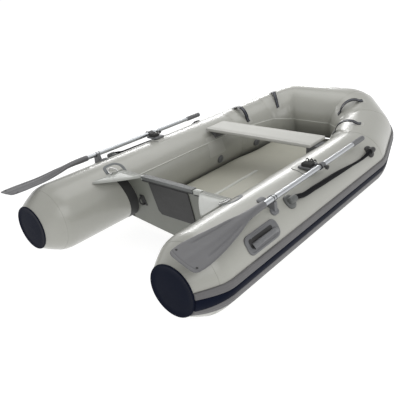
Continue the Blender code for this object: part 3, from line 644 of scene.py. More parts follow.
def tube_rings(i, low=0.0):
    return [[hull_point(i, run, a, 0) for a in TUBE_TURNS] for run in runs(i, low)]


def band(name, places, side, height):
    """A strip of fabric round the tube: places are (length, run) pairs across its width."""
    section = [(places[0], EDGE_SINK), *((place, height) for place in places), (places[-1], EDGE_SINK)]
    rings = [[hull_point(i, run, a, h) for (i, run), h in section] for a in TUBE_TURNS]
    return add_piece(name, loft_mesh(mirrored(rings, side), loop=True), "pvc_light", sharp=30)


def make_tubes(side):
    word = side_name(side)
    shares = [sin(pi / 2 * share) for share in between(0, 1, 22)]
    stops = [CAP_DEPTH + (CONE_END - CAP_DEPTH) * share for share in shares]
    cone = [[hull_point(0, y, a, 0) for a in TUBE_TURNS] for y in stops]
    how = {"caps": False, "wall": SKIN, "side": side}
    loft(f"{word}_cone_skin", cone, "pvc_light", replaces=[f"{word}_stern_cone"], **how)
    for i, node in enumerate(("side_tube", "bow_quarter", "bow_corner")):
        rings = tube_rings(i, CONE_END)
        loft(f"{word}_{node}_skin", rings, "pvc_light", replaces=[f"{word}_{node}"], **how)
    band(f"{word}_cone_tape", [(0, y) for y in between(0.114, 0.142, 5)], side, 0.0015)
    for i in range(3):
        near = [(i, length_of(i) - gap) for gap in (0.014, 0.008, 0.002)]
        places = near + [(i + 1, gap) for gap in (0.002, 0.008, 0.014)]
        band(f"{word}_seam_{i + 1}", places, side, 0.0009)


# y, angle
ARCH = ((0.514, 123), (0.528, 110), (0.55, 106), (0.575, 105), (0.602, 105.5), (0.622, 107.5), (0.643, 117),
        (0.638, 132))


def make_arch(side):
    """The grey band that runs from the corner plate over the tube's shoulder and back."""
    line = smooth_points([Vector((y, radians(angle) * TUBE_R)) for y, angle in ARCH], 4)
    half = mm((-10, -0.6), (-9.6, 1.6), (-8, 2.2), (-6, 1.7))
    section = half + [(0, 0.0018)] + [(-shift, height) for shift, height in reversed(half)]
    rings = []
    for n, point in enumerate(line):
        ahead = line[min(n + 1, len(line) - 1)] - line[max(n - 1, 0)]
        across = Vector((-ahead.y, ahead.x)).normalized()
        spots = [(point + across * shift, height) for shift, height in section]
        rings.append([side_point(p.x, degrees(p.y / TUBE_R), TUBE_R + h) for p, h in spots])
    loft(f"{side_name(side)}_corner_arch", rings, "band_grey", side=side)


def welt_angle(i, share):
    return (148, 148 + 14 * share, 162 + 25 * share, 187)[i]


def round_the_bow(half):
    """(length, run, side) of every station: half of them, the bow's front, and half again to port."""
    front = [(3, run, 1) for run in runs(3)[1:-1]]
    return [(i, run, 1) for i, run in half] + front + [(i, run, -1) for i, run in reversed(half)]


def make_welt():
    """The raised seam along the tubes' inner wall, from one corner plate round the bow to the other; its
    lighter colour is a painted highlight.
    """
    half = [(0, run) for run in runs(0, 0.7)] + [(i, run) for i in (1, 2) for run in runs(i)[1:]]
    section = mm_last((-1.2, -0.6), (-1.0, 1.6), (-0.5, 3.6), (0.5, 3.6), (1.0, 1.6), (1.2, -0.6))
    rings = []
    for i, run, side in round_the_bow(half):
        share = run / length_of(i)
        middle = welt_angle(i, share)
        low = 1 - 0.75 * (1 if i > 1 else share if i else 0)
        rings.append([on_side(hull_point(i, run, middle + a, h * low), side) for a, h in section])
    loft("inner_welt", rings, "welt_painted_highlight")


def make_bow():
    loft("bow_front_skin", tube_rings(3), "pvc_light", caps=False, wall=SKIN, replaces=["bow_front"])


def make_cap(side):
    """A navy disc a little crowned, with a rolled rim."""
    word = side_name(side)
    steps = mm((5, 6.8), (0.6, 6.2), (0, 4), (1, 1.2), (5, 0), (12, 1.2), (16, 3), (40, 2.2), (80, 1.4))
    profile = [(CAP_R + CAP_RIM - inset, height) for inset, height in steps] + [(0, 0.001)]
    place = on_side((TUBE_X, 0, TUBE_Z), side)
    turned(f"{word}_cap", profile, place, FORE, "pvc_navy", 96, replaces=[f"{word}_end_cap"])


STRAKE_BANDS = (
    # name, material, (angle, height) from top to bottom
    ("strake_upper", "strake_grey",
     mm_last((11.4, 1.4), (11.2, 6), (10.2, 10), (8.6, 11.2), (7.6, 9.8), (6.6, 11.2), (4.6, 11.6),
             (3.7, 10.2), (2.8, 11.6), (0.9, 11.2), (0.2, 9))),
    ("strake_middle", "pvc_navy",
     mm_last((0.3, 8), (0, 10.8), (-1.2, 12.4), (-4.7, 12.8), (-8.4, 12.4), (-9.5, 10.8), (-9.8, 8))),
    ("strake_lower", "strake_grey",
     mm_last((-9.7, 9), (-10.4, 11.2), (-13, 11.6), (-13.9, 10), (-14.8, 11.4), (-18.6, 10.8), (-19.5, 9.2),
             (-20.4, 10.2), (-24.6, 8), (-27.2, 5.2), (-28.8, 1.4))),
)
STRAKE_FOOT = 0.0008
# (angle on the tube, angle on the cap)
STRAKE_AT_CAP = ((-28.8, -47.0), (-9.7, -25.5), (0.3, 2.0), (11.4, 15.9))


def strake_angle(angle, i, run):
    """The strake covers a wider angle where the stern cone is thin."""
    if i or run >= CONE_END:
        return angle
    share = (TUBE_R - cone_radius(run)) / (TUBE_R - CAP_R)
    for (a, to_a), (b, to_b) in zip(STRAKE_AT_CAP, STRAKE_AT_CAP[1:]):
        if angle <= b or b == STRAKE_AT_CAP[-1][0]:
            at_cap = to_a + (to_b - to_a) * (angle - a) / (b - a)
            break
    return angle + (at_cap - angle) * share


def make_strake():
    half = [(0, y) for y in between(CAP_DEPTH, CONE_END, 10)]
    half += [(i, run) for i in range(3) for run in runs(i, CONE_END)[1:]]
    for name, material, outer in STRAKE_BANDS:
        top, low = outer[0][0], outer[-1][0]
        steps = outer + [(angle, STRAKE_FOOT) for angle in (low, (top + low) / 2, top)]
        rings = []
        for i, run, side in round_the_bow(half):
            rings.append([on_side(hull_point(i, run, strake_angle(a, i, run), h), side) for a, h in steps])
        replaced = ["rubbing_strake"] if name == "strake_middle" else []
        loft(name, rings, material, replaces=replaced, sharp=50)


# ---------- bottom and floor ----------

def bottom_edge(i, run):
    return hull_point(i, run, BOTTOM_ANGLE, 0.002)


BOW_EDGE = bottom_edge(2, length_of(2))


def keel_height(y):
    """The lowest line of the bottom, level aft and rising to the bow."""
    low = HULL_LOW + SKIN
    part = max(y - BEND_1.y, 0) / (BOW_EDGE.y - BEND_1.y)
    return low + (BOW_EDGE.z - 0.012 - low) * part**1.6


def make_bottom():
    """The bottom skin, a shallow V that meets the tubes under their middles."""
    places = [(0, y) for y in between(raked_y(0), BEND_1.y - FILLET, 14)]
    for i in (1, 2):
        places += [(i, run) for run in runs(i)[::2]]
    rings = []
    for n, (i, run) in enumerate(places):
        edge = bottom_edge(i, run)
        low = keel_height(edge.y)
        ring = []
        for across in between(-1, 1, 33):
            height = low + (edge.z - low) * abs(across) ** 1.1
            y = edge.y if n else raked_y(height)
            ring.append(Vector((edge.x * across, y, height)))
        rings.append(ring)
    loft("bottom_skin", rings, "pvc_light", closed=False, caps=False, wall=SKIN, replaces=["hull_bottom"])


# the air floor, from where it starts to narrow, and the ridge along its middle
FLOOR_AFT, FLOOR_TAPER, FLOOR_FORE = 0.735, 1.7, 2.11
FLOOR_HALF = 0.37
RIDGE_AFT, RIDGE_FORE = 0.86, 1.5


def floor_half_width(y):
    return FLOOR_HALF - 0.42 * max(y - FLOOR_TAPER, 0) ** 1.55


def floor_top(y, share):
    """The floor's top at a share of its half width."""
    lift = max(keel_height(y) - keel_height(0), 0) * 0.9
    crown = 0.044 * (1 - 0.5 * max(y - FLOOR_TAPER, 0) / 0.55)
    return 0.096 + lift + crown * (1 - abs(share) ** 1.4)


def make_floor():
    """The air floor: a crowned mat with a rolled edge, a welded seam inside it and a ridge."""
    outer = [0.91, 0.925, 0.94, 0.975, 0.994, 1]
    shares = [-share for share in reversed(outer)] + between(-0.88, 0.88, 23) + outer
    dips = {1: -0.02, 0.994: -0.0105, 0.975: -0.003, 0.925: -0.0028}
    ends = mm((0, -18), (4, -8), (12, -2), (30, 0))
    stops = [(FLOOR_AFT + gap, dip) for gap, dip in ends] + [(y, 0) for y in between(0.8, 2.05, 24)]
    stops += [(FLOOR_FORE - gap, dip) for gap, dip in reversed(ends)]
    rings = []
    for y, end_dip in stops:
        half = floor_half_width(y)
        top = []
        for share in shares:
            dip = min(dips.get(round(abs(share), 3), 0), end_dip)
            top.append(Vector((half * share, y, floor_top(y, share) + dip)))
        under = [Vector((p.x * 0.985, p.y, floor_top(y, p.x / half) - 0.038)) for p in reversed(top)]
        rings.append(top + under)
    loft("floor_mat", rings, "floor_cream", replaces=["air_floor"], sharp=60)
    # the ridge is a real raised pleat; its lighter colour than the floor is a painted highlight along its
    # crest
    section = mm_last((-1, -1), (-0.8, 4), (-0.35, 7.5), (0.35, 7.5), (0.8, 4), (1, -1))
    ends = [(RIDGE_AFT + gap, min(1, (gap / 0.018) ** 0.5)) for gap in (0.0006, 0.004, 0.01, 0.018)]
    stops = ends + [(y, 1) for y in between(0.92, 1.44, 14)]
    stops += [(RIDGE_AFT + RIDGE_FORE - y, share) for y, share in reversed(ends)]
    rings = []
    for y, share in stops:
        places = [(-0.01 + 0.014 * share * u, h * share) for u, h in section]
        rings.append([Vector((x, y, floor_top(y, x / FLOOR_HALF) + h)) for x, h in places])
    loft("floor_ridge", rings, "welt_painted_highlight")


# ---------- transom ----------

# heights of the ribs on the forward pad, the rail's lip, and the slots under its ends
CLAMP_RIBS = (0.225, 0.262)
RAIL_LIP_Z = 0.3535
SLOT_X, SLOT_Z = 0.210, 0.3445


def make_transom():
    # the transom board gets a darker copy of the corner plates' paint: painted shade on its aft face
    dress("transom_board", "board_painted_shade", 0.0015)
    dress("transom_cap", "rail_grey")
    for node in ("motor_pad", "drain_plug"):
        dress(node, "charcoal")
    for node in ("keel_tube", "bow_baffle"):
        dress(node, "keel_pvc")
    low, high = node_box("transom_cap")
    for n, z in enumerate(CLAMP_RIBS):
        points = [Vector((x, raked_y(z) + BOARD_DEPTH + 0.0066, z)) for x in (low.x + 0.012, high.x - 0.012)]
        add_piece(f"clamp_rib_{n + 1}", sweep_mesh(points, 0.002, 10), "rail_grey")
    at = on_transom((low.x + high.x) / 2, RAIL_LIP_Z)
    border = rounded_box((high.x - low.x) / 2 - 0.002, 0.0036, 0.0015, 0.05)
    relief("rail_lip", at, border, mm((0, 0.5), (0, 7.4), (1.2, 8.6)), "charcoal")


def make_rail_end(side):
    """The pale block between the rail and the corner plate, and the slot under it."""
    word = side_name(side)
    section = mm((-2.6, 352), (-2.6, 375.5), (4, 377.5), (26, 377.5), (30.6, 375.5), (30.6, 352))
    rings = []
    for x, shrink in ((0.184, 0.03), (0.186, 0), (0.234, 0), (0.236, 0.03)):
        spots = [(d + (0.014 - d) * shrink, z + (0.365 - z) * shrink) for d, z in section]
        rings.append([(x, raked_y(z) + d, z) for d, z in spots])
    loft(f"{word}_rail_end", rings, "board_white", side=side)
    layers = mm((0, -1), (0, 0.8), (0.8, 1.2))
    border = rounded_box(0.025, 0.0035, 0.002)
    relief(f"{word}_rail_slot", on_transom(SLOT_X * side, SLOT_Z), border, layers, "charcoal")


def make_reinforcement(side):
    """The dark strip on the tube's wall just aft of the board."""
    steps = mm((-72, -0.5), (-71.2, 1.2), (-36, 1.4), (-2, 1.2), (-1, -0.5))
    rings = []
    for angle in between(139, 237, 34):
        edge = raked_y(TUBE_Z + TUBE_R * sin(radians(angle)))
        rings.append([side_point(edge + u, angle, TUBE_R + h) for u, h in steps])
    loft(f"{side_name(side)}_transom_strip", rings, "charcoal", side=side)


# x, y of the plate's free edge
GUSSET_EDGE = mm((236, 593.5), (262, 556), (296, 512), (334, 468), (370, 430), (400, 401), (427, 380))


def make_gusset(side):
    """A glossy moulded corner plate with a raised edge, and the lug for its ring."""
    word = side_name(side)
    outline = smooth_points([Vector(p) for p in GUSSET_EDGE], 4)
    fore = GUSSET_EDGE[0][1]
    wall = tube_inner_x(TRANSOM_TOP - 0.006, 0.0008)
    outline += [Vector((wall, y)) for y in between(0.4, fore, 8)]
    outline += [Vector((x, fore)) for x in between(wall - 0.02, 0.256, 8)]
    middle = sum(outline, Vector((0, 0))) / len(outline)
    rings = []
    for share, height in mm_last((0, -8), (0, 0.6), (0.012, 2.4), (0.045, 2.6), (0.075, 0.6), (0.3, 1.8),
                                 (0.6, 2.6), (0.85, 2.9)):
        flat = [p.lerp(middle, share) for p in outline]
        rings.append([on_side((p.x, p.y, TRANSOM_TOP + height), side) for p in flat])
    bm = loft_mesh(rings)
    lug_top = node_box(f"{word}_gusset")[1].z
    low, high = (RING_X - 0.0058, 0.535, TRANSOM_TOP - 0.004), (RING_X + 0.0058, 0.565, lug_top)
    side_box(side, low, high, 0.0016, bm)
    add_piece(f"{word}_corner_plate", bm, "board_white", replaces=[f"{word}_gusset"])


RING_LEAN = radians(25)


def make_ring(side):
    """The lifting ring, which leans outboard towards the tube."""
    word = side_name(side)
    low, high = node_box(f"{word}_lifting_ring")
    middle = (low.y + high.y) / 2
    points = [Vector((RING_X * side, middle - 0.028 + 0.056 * k / 8, RING_Z)) for k in range(9)]
    for k in range(1, 24):
        turn = pi / 2 - pi * k / 24
        reach = 0.008 + 0.038 * cos(turn)
        x, z = RING_X + reach * cos(RING_LEAN), RING_Z + reach * sin(RING_LEAN)
        points.append(Vector((x * side, middle + 0.031 * sin(turn), z)))
    add_piece(f"{word}_wire_ring", ring_mesh(points, 0.003), "stainless", f"{word}_ring",
              [f"{word}_lifting_ring"])


EYE_X, EYE_Z = 0.297, 0.181


def make_eye(side):
    """A plate with two screws and a bow of round bar."""
    word = side_name(side)
    at = on_transom(EYE_X * side, EYE_Z)
    bm = relief_mesh(at, rounded_box(0.02, 0.04, 0.007), mm((0, 0.4), (0, 4), (1.5, 5.5), (18, 5.5)))
    points = [at(0, 0.03 * cos(t), 0.003 + 0.032 * sin(t)) for t in between(0, pi, 17)]
    sweep_mesh(points, 0.0055, 16, bm)
    for v in (-0.034, 0.034):
        screw = on_transom(EYE_X * side, EYE_Z + v)
        relief_mesh(screw, rounded_box(0.004, 0.004, 0.0039), mm((0, 5), (0, 6.6), (1, 7.2)), bm)
    add_piece(f"{word}_eye", bm, "charcoal", replaces=[f"{word}_towing_eye"])


# ---------- seat ----------

def make_seat():
    """The plank: rounded edges, a lip along both long edges and closed ends."""
    low, high = node_box("seat_plank")
    width, depth = high.y - low.y, high.z - low.z
    # distance in from a long edge, and drop as a share of the depth
    upper = [(0, 0.22), (0.0007, 0.07), (0.003, 0), (0.012, 0), (0.013, 0.035), (0.0145, 0.035),
             (0.0155, 0), (0.06, 0)]
    lower = [(0, 0.65), (0.002, 0.9), (0.006, 1), (0.03, 1)]
    section = [(gap, -drop * depth) for gap, drop in upper]
    section += [(width - gap, -drop * depth) for gap, drop in upper[::-1] + lower]
    section += [(gap, -drop * depth) for gap, drop in reversed(lower)]
    ends = [(high.x - gap, shrink) for gap, shrink in mm((0, 5.5), (1.2, 2.5), (4, 0.8), (8, 0))]
    centre = Vector((width / 2, -depth / 2))
    rings = []
    for x, shrink in [(-x, shrink) for x, shrink in ends] + ends[::-1]:
        ring = []
        for y, z in section:
            y = centre.x + (y - centre.x) * (1 - shrink / (width / 2))
            z = centre.y + (z - centre.y) * (1 - shrink / (depth / 2))
            ring.append(Vector((x, low.y + y, high.z + z)))
        rings.append(ring)
    loft("seat_board", rings, "seat_white", body="seat", replaces=["seat_plank"])


SEAT_PATCH_Y, SEAT_PATCH_ANGLE = 1.478, 150


def make_seat_side(side):
    word = side_name(side)
    dress(f"{word}_seat_bracket", "fitting_grey", 0.003)
    border = shape(mm((-60, -46), (0, -47), (60, -46), (82, 0), (88, 60), (92, 104), (0, 106),
                      (-92, 104), (-88, 60), (-78, 0)), 3)
    layers = mm_last((0, -1), (0, 1), (0.02, 1.6)) + [(s, 0.0016) for s in between(0.14, 0.95, 8)]
    relief(f"{word}_seat_patch", on_tube(SEAT_PATCH_Y, SEAT_PATCH_ANGLE, side), border, layers, "patch_light")


def make_valve(name, at):
    """A screw cap with a knurled edge and a grip bar, in a round flange."""
    foot = at(0, 0, 0.0005)
    outward = (at(0, 0, 1) - at(0, 0, 0)).normalized()
    profile = mm((31, 0), (32.5, 1.2), (31.8, 3.4), (28.5, 4.2), (27, 3.6), (26.2, 4), (26.2, 8.6),
                 (25, 10.4), (21.5, 11), (20, 9.4), (6, 9), (0, 9))
    bm = turned_mesh(profile, foot, outward, 72, 24, 0.0004)
    across = outward.cross(FORE).normalized()
    bar = [foot + outward * 0.0098 + across * v for v in between(-0.0185, 0.0185, 5)]
    sweep_mesh(bar, [0.0022, 0.0034, 0.0038, 0.0034, 0.0022], 12, bm)
    turning = f"{name}_cap" if f"{name}_cap" in frame["bodies"] else name
    add_piece(f"{name}_screw", bm, "fitting_grey", turning, [name])


# ---------- deck gear ----------

HANDLE_Y, HANDLE_ANGLE = 0.46, 31.5


def make_handle(side):
    """A moulded base with a finger well on its inboard side, and a thick hand grip beside it."""
    word = side_name(side)
    at = on_tube(HANDLE_Y, HANDLE_ANGLE, side)
    half_v = radians(13.3) * TUBE_R
    layers = mm((0, -1), (0, 4), (1.5, 6.6), (4.5, 7.8), (10, 7.8), (13, 5), (17, 4.6))
    base = rounded_box(0.13, half_v, 0.034)
    relief(f"{word}_handle_base", at, base, filled(layers, half_v - 0.004), "fitting_grey",
           replaces=[f"{word}_carry_handle"])
    bm = bmesh.new()
    for u, v, half_u, half_w in mm((4, 15, 82, 10.5), (-90, 4, 15, 23)):
        well = rounded_box(half_u, half_w, min(half_u, half_w) - 0.001)
        relief_mesh(lambda a, b, h, u=u, v=v: at(a + u, b + v, h), well,
                    filled(mm((0, 4), (0, 5.4), (1, 5.7)), min(half_u, half_w)), bm)
    add_piece(f"{word}_handle_well", bm, "charcoal")
    points, radii = [], []
    for t in between(0, 1, 25):
        bow = min(1, sin(pi * t) * 1.5) ** 0.9
        place = side_point(0.372 + 0.186 * t, 28.4 + 2.0 * bow, TUBE_R + 0.006 + 0.021 * bow)
        points.append(on_side(place, side))
        radii.append(0.0132 + 0.003 * (abs(t - 0.5) * 2) ** 5 + 0.0004 * cos(t * 2 * pi * 9))
    add_piece(f"{word}_grip_bar", sweep_mesh(points, radii, 24), "fitting_grey")


def make_rope_fitting(word, y, angle, toward, side):
    """A moulded egg-shaped shell that holds the end of the lifeline."""
    name = side_name(side)
    at = on_tube(y, angle, side)
    border = shape(mm((-36, 12), (-24, 34), (4, 40), (28, 30), (34, 4), (28, -26), (6, -40),
                      (-22, -34), (-36, -14)), 4)
    layers = mm_last((0, -1), (0, 5), (0.05, 9), (0.16, 12.8), (0.32, 16), (0.52, 18), (0.75, 18.8),
                     (0.95, 19))
    bm = relief_mesh(lambda u, v, h: at(u * toward, v, h), border, layers)
    centre = on_side(side_point(y, angle, TUBE_R + ROPE_SINK), side)
    forward = Vector((0, toward, 0))
    cup = mm((10, 27), (12.5, 30), (16.5, 29.6), (19, 27), (19.2, 0), (18.2, -18), (15.5, -25.5), (10, -29),
             (0, -29.6))
    turned_mesh(cup, centre, forward, 40, bm=bm)
    metal = "rail_grey" if word == "aft" else "charcoal"
    add_piece(f"{name}_{word}_rope_cup", bm, metal, replaces=[f"{name}_{word}_rope_fitting"])
    hollow = mm((0, 26), (15.8, 26.2), (16.2, 29.2), (13.5, 31.2), (10.5, 30.6), (11.8, 34), (13.4, 38),
                (13, 44), (11.2, 48), (9, 51))
    turned(f"{name}_{word}_rope_collar", hollow, centre, forward, "rope_black", 24, 6, 0.0006)


def make_strap(word, i, share, angles, side):
    """A webbing strap with turned edges and a pale stripe, between two welded patches."""
    name = f"{side_name(side)}_{word}"
    run = share * length_of(i)

    def lay(shifts, lift):
        rings = []
        section = shifts + [(shifts[k][0], -0.0006) for k in (-1, 0)]
        for t in between(0, 1, 29):
            angle = angles[0] + (angles[1] - angles[0]) * t
            free = max(0, min(1, (t - 0.12) / 0.76))
            stand = 0.0014 + 0.033 * sin(pi * free) ** 0.8 + lift
            spots = [(run + shift - 0.012 * t, stand + height) for shift, height in section]
            rings.append([hull_point(i, y, angle, height) for y, height in spots])
        return rings

    web = mm((-18.5, 0.4), (-18, 4), (-15.8, 5.6), (-11, 4.6), (0, 4.8), (11, 4.6), (15.8, 5.6), (18, 4),
             (18.5, 0.4))
    loft(f"{name}_strap", lay(web, 0), "black_web", side=side, replaces=[f"{name}_grab_strap"])
    stripe = mm((-3, 0.4), (-2.5, 0.9), (2.5, 0.9), (3, 0.4))
    loft(f"{name}_stripe", lay(stripe, 0.0044), "stripe_light", side=side)
    for n, angle in enumerate((angles[0] + 2, angles[1] - 2)):
        at = on_length(i, run, angle, side)
        border = rounded_box(0.034, 0.026, 0.012)
        relief(f"{name}_foot_{n + 1}", at, border, patch_layers(0.0012, 0.024), "patch_light")


# ---------- oars ----------

LOCK_PATCH_Y, LOCK_PATCH_ANGLE = 1.098, 81
PATCH_SKEW = 0.25


def make_lock(side):
    """The pale base patch, its boss and pin, and the swinging block with its latch."""
    word = side_name(side)
    at = on_tube(LOCK_PATCH_Y, LOCK_PATCH_ANGLE, side)
    half_v = radians(18) * TUBE_R

    def skewed(inset):
        return [(u + v * PATCH_SKEW, v) for u, v in rounded_box(0.058, half_v, 0.012)(inset)]

    bm = relief_mesh(at, skewed, patch_layers(0.0018, half_v - 0.004))
    edge = [at(-0.0562 + v * PATCH_SKEW, v, 0.0012) for v in between(-half_v + 0.008, half_v - 0.008, 13)]
    add_piece(f"{word}_patch_edge", sweep_mesh(edge, 0.0018, 10), "fitting_grey")
    foot = on_side((PIN.x, PIN.y, TUBE_Z + TUBE_R - 0.016), side)
    rise = OAR_Z - 0.0165 - foot.z
    boss = mm((30, 4), (28, 8), (21.5, 11))
    pin = mm((20.5, -3), (19, -0.6), (6.2, -0.6), (6, 38), (4.5, 40), (0, 40))
    turned_mesh(boss + [(radius, rise + height) for radius, height in pin], foot, UP, 40, bm=bm)
    add_piece(f"{word}_lock_base", bm, "patch_light", replaces=[f"{word}_oarlock_base"])
    low, high = node_box(f"{word}_oarlock_block")
    body = f"{word}_oarlock"
    shelf = low.z + 0.4 * (high.z - low.z)
    bm = box_mesh(low, (high.x, high.y, shelf), 0.004)
    aft, fore = LOCK_Y - 0.013, LOCK_Y + 0.013
    side_box(side, (PIN.x + 0.024, aft, shelf - 0.004), (PIN.x + 0.052, fore, OAR_Z + 0.01), 0.004, bm)
    add_piece(f"{word}_lock_carriage", bm, "fitting_grey", body)
    near, far, aft, top = PIN.x - 0.016, PIN.x + 0.044, PIN.y - 0.038, high.z
    bm = side_box(side, (near, aft, shelf - 0.002), (far, aft + 0.05, top), 0.004)
    for y in (aft + 0.008, aft + 0.023, aft + 0.038):
        side_box(side, (near + 0.005, y, top - 0.003), (far - 0.005, y + 0.005, top + 0.0024), 0.001, bm)
    add_piece(f"{word}_lock_block", bm, "charcoal", body, [f"{word}_oarlock_block"])
    head = on_side((PIN.x + 0.014, PIN.y + 0.028, shelf), side)
    cap = mm((11, -1), (11.6, 2.5), (11, 6), (8, 7.2), (7.5, 14.2), (6, 15.2), (0, 15.2))
    bm = turned_mesh(cap, head, UP, 40)
    wing = mm((-34, -4, 20), (-28, 8, 23), (-16, 4, 10), (-8, 16, 23), (4, 8, 10), (14, 13, 20), (24, 10, 12))
    points = smooth_points([head + Vector((a * side, b, c)) for a, b, c in wing], 4)
    sweep_mesh(points, 0.0036, 12, bm)
    add_piece(f"{word}_lock_latch", bm, "charcoal", body)


def groove(y, outer, inner, half, floor):
    """A groove in a turned profile, or a rib where outer is less than inner."""
    return [(outer, y - half), (inner, y - floor), (inner, y + floor), (outer, y + half)]


def make_collar(side):
    """The ribbed clamp ring on the shaft and its trunnion."""
    word = side_name(side)
    centre = on_side((OAR_X, LOCK_Y, OAR_Z), side)
    profile = mm((14.7, -20), (17.8, -20), (18.2, -18.8))
    for n in range(7):
        profile += groove(-0.0165 + 0.0055 * n, 0.0182, 0.0172, 0.0012, 0.0006)
    profile += mm((18.2, 18.8), (17.8, 20), (14.7, 20))
    bm = turned_mesh(profile, centre, FORE)
    trunnion = [on_side((OAR_X - gap, LOCK_Y, OAR_Z), side) for gap in (0.0472, 0.016)]
    sweep_mesh(trunnion, 0.0055, 20, bm)
    add_piece(f"{word}_collar_ring", bm, "fitting_grey", f"{word}_oar", [f"{word}_oar_collar"])
    rim = mm((14.7, -24), (18.2, -23.4), (18.6, -21.2), (18.4, -18.8), (14.7, -18.4))
    turned(f"{word}_collar_rim", rim, centre, FORE, "charcoal", body=f"{word}_oar")


KNOB_ANGLE = radians(-6)


def make_knob(side):
    word = side_name(side)
    direction = on_side((cos(KNOB_ANGLE), 0, sin(KNOB_ANGLE)), side)
    place = on_side((OAR_X, LOCK_Y, OAR_Z), side) + direction * 0.0192
    profile = mm((6, 0), (6, 7.4), (9.5, 7.8), (12, 9.2), (12.5, 11.5), (12.5, 20), (11.9, 22.6),
                 (9.5, 23.8), (6.2, 24), (5.2, 23.2), (0, 23.1))
    turned(f"{word}_knob_grip", profile, place, direction, "charcoal", 48, 8, 0.0007, body=f"{word}_knob",
           replaces=[f"{word}_lock_knob"])


def make_shaft(side):
    word = side_name(side)
    body = f"{word}_oar"
    start = on_side((OAR_X, 0, OAR_Z), side)
    low, high = node_box(f"{word}_oar_shaft")
    profile = [(0.0125, low.y), (0.014, low.y), (0.014, high.y), (0.0125, high.y)]
    turned(f"{word}_shaft_tube", profile, start, FORE, "anodised", body=body, replaces=[f"{word}_oar_shaft"])
    low, high = node_box(f"{word}_oar_grip")
    profile = [(0.0146, low.y), (0.016, low.y + 0.0015), (0.0164, low.y + 0.006)]
    for n in range(14):
        y = low.y + 0.014 + n * (high.y - low.y - 0.034) / 13
        profile += groove(y, 0.0164, 0.0153, 0.0022, 0.001)
    profile += [(0.0168, high.y - 0.012), (0.0164, high.y - 0.005), (0.013, high.y - 0.0006), (0, high.y)]
    turned(f"{word}_grip_sleeve", profile, start, FORE, "fitting_grey", 40, body=body,
           replaces=[f"{word}_oar_grip"])
    for n, y in enumerate((CLIP_Y - 0.004, CLIP_Y + 0.016)):
        rib = groove(y, 0.0139, 0.0152, 0.003, 0.0022)
        turned(f"{word}_shaft_ring_{n + 1}", rib, start, FORE, "charcoal", 40, body=body)


# y, half width, half depth
BLADE_OUTLINE = mm(
    (550, 18, 18), (500, 19.5, 18), (440, 22.5, 16), (385, 29, 13.5), (320, 44, 11), (240, 58.5, 8.8),
    (150, 72.2, 6.8), (60, 81.2, 5.2), (30, 81.5, 4.8), (8, 80.6, 4.6), (-12, 78, 4.4), (-25, 73.5, 4.2),
    (-32, 66.5, 4), (OAR_TIP * 1000, 56, 3)
)
BLADE_TILT = {1: 20.0, -1: 6.0}
BLADE_DROP = 0.022


def blade_drop(y):
    """How far the blade's face lies under the shaft's line."""
    part = min(max((0.46 - y) / 0.3, 0), 1)
    return BLADE_DROP * part * part * (3 - 2 * part)


def blade_depth(across, half, depth, y):
    """Half the blade's thickness at a share of its width: thin edges, a spine and its grooves."""
    flat = max(0.0, min(1.0, (0.42 - y) / 0.1))
    rounded = sqrt(max(0, 1 - across * across))
    edge = min(1.0, (1 - abs(across)) / 0.1) ** 0.5 if abs(across) < 1 else 0
    spine = 0.62 + 0.38 * exp(-((across * half / 0.016) ** 2))
    blade = depth * spine * edge
    groove = 0.003 * exp(-(((abs(across) - 0.62) * half / 0.0046) ** 2))
    groove *= max(0, min(1, (y - 0.075) / 0.02)) * max(0, min(1, (0.345 - y) / 0.02))
    groove += 0.0016 * exp(-(((y - OAR_TIP - 0.011 - 0.012 * across**2) / 0.0036) ** 2))
    return rounded * depth * (1 - flat) + (blade - groove) * flat


def make_blade(side):
    word = side_name(side)
    tilt = Matrix.Rotation(radians(BLADE_TILT[side]), 3, "Y")

    def place(across, y, height):
        return on_side(Vector((OAR_X, y, OAR_Z)) + tilt @ Vector((across, 0, height - blade_drop(y))), side)

    stations = smooth_points([Vector(row) for row in BLADE_OUTLINE], 6)
    shares = [cos(pi * k / 52) for k in range(53)]
    rings = []
    for y, half, depth in stations:
        ring = [place(half * a, y, blade_depth(a, half, depth, y)) for a in shares]
        ring += [place(half * a, y, -blade_depth(a, half, depth, y)) for a in shares[-2:0:-1]]
        rings.append(ring)
    body = f"{word}_oar"
    loft(f"{word}_blade", rings, "blade_grey", body=body, replaces=[f"{word}_oar_blade"], sharp=60)
    bm = bmesh.new()
    out = on_side(tilt @ UP, side)
    for across, y in mm((-65, 4), (2, 10), (59, -6)):
        ring = mm((5.8, -2), (5.8, 0.8), (4.6, 1.4), (3.4, 0.4), (0, 0.4))
        turned_mesh(ring, place(across, y, 0.0026), out, 20, bm=bm)
    add_piece(f"{word}_blade_eyelets", bm, "charcoal", body)


def make_clip(side):
    """Two lobed feet on the tube and the cradle that the shaft lies in."""
    word = side_name(side)
    bm = bmesh.new()
    layers = filled(mm((0, -1), (0, 4), (2, 7), (6, 9.8), (12, 11.2)), 0.019)
    for angle in CLIP_ANGLES:
        relief_mesh(on_tube(CLIP_Y, angle, side), rounded_box(0.03, 0.0205, 0.02), layers, bm)
    shelf = OAR_Z - 0.0146
    wall = OAR_X - 0.0146

    def sunk(x):
        """A point of the cradle's foot, just under the skin of the tube."""
        return x, TUBE_Z + sqrt((TUBE_R + 0.002) ** 2 - (x - TUBE_X) ** 2)

    outline = [sunk(wall - 0.021), (wall - 0.01, OAR_Z - 0.006), (wall - 0.009, OAR_Z + 0.008),
               (wall - 0.004, OAR_Z + 0.01), (wall, OAR_Z + 0.008), (wall, shelf + 0.004),
               (wall + 0.004, shelf), (OAR_X + 0.013, shelf), (OAR_X + 0.016, shelf - 0.003),
               (OAR_X + 0.016, shelf - 0.008), sunk(OAR_X + 0.02)]
    rings = []
    for y in between(CLIP_Y - 0.012, CLIP_Y + 0.012, 3):
        rings.append([on_side((x, y, z), side) for x, z in outline])
    loft_mesh(rings, bm=bm)
    add_piece(f"{word}_clip_feet", bm, "fitting_grey", replaces=[f"{word}_oar_clip"])


# ---------- the boat ----------

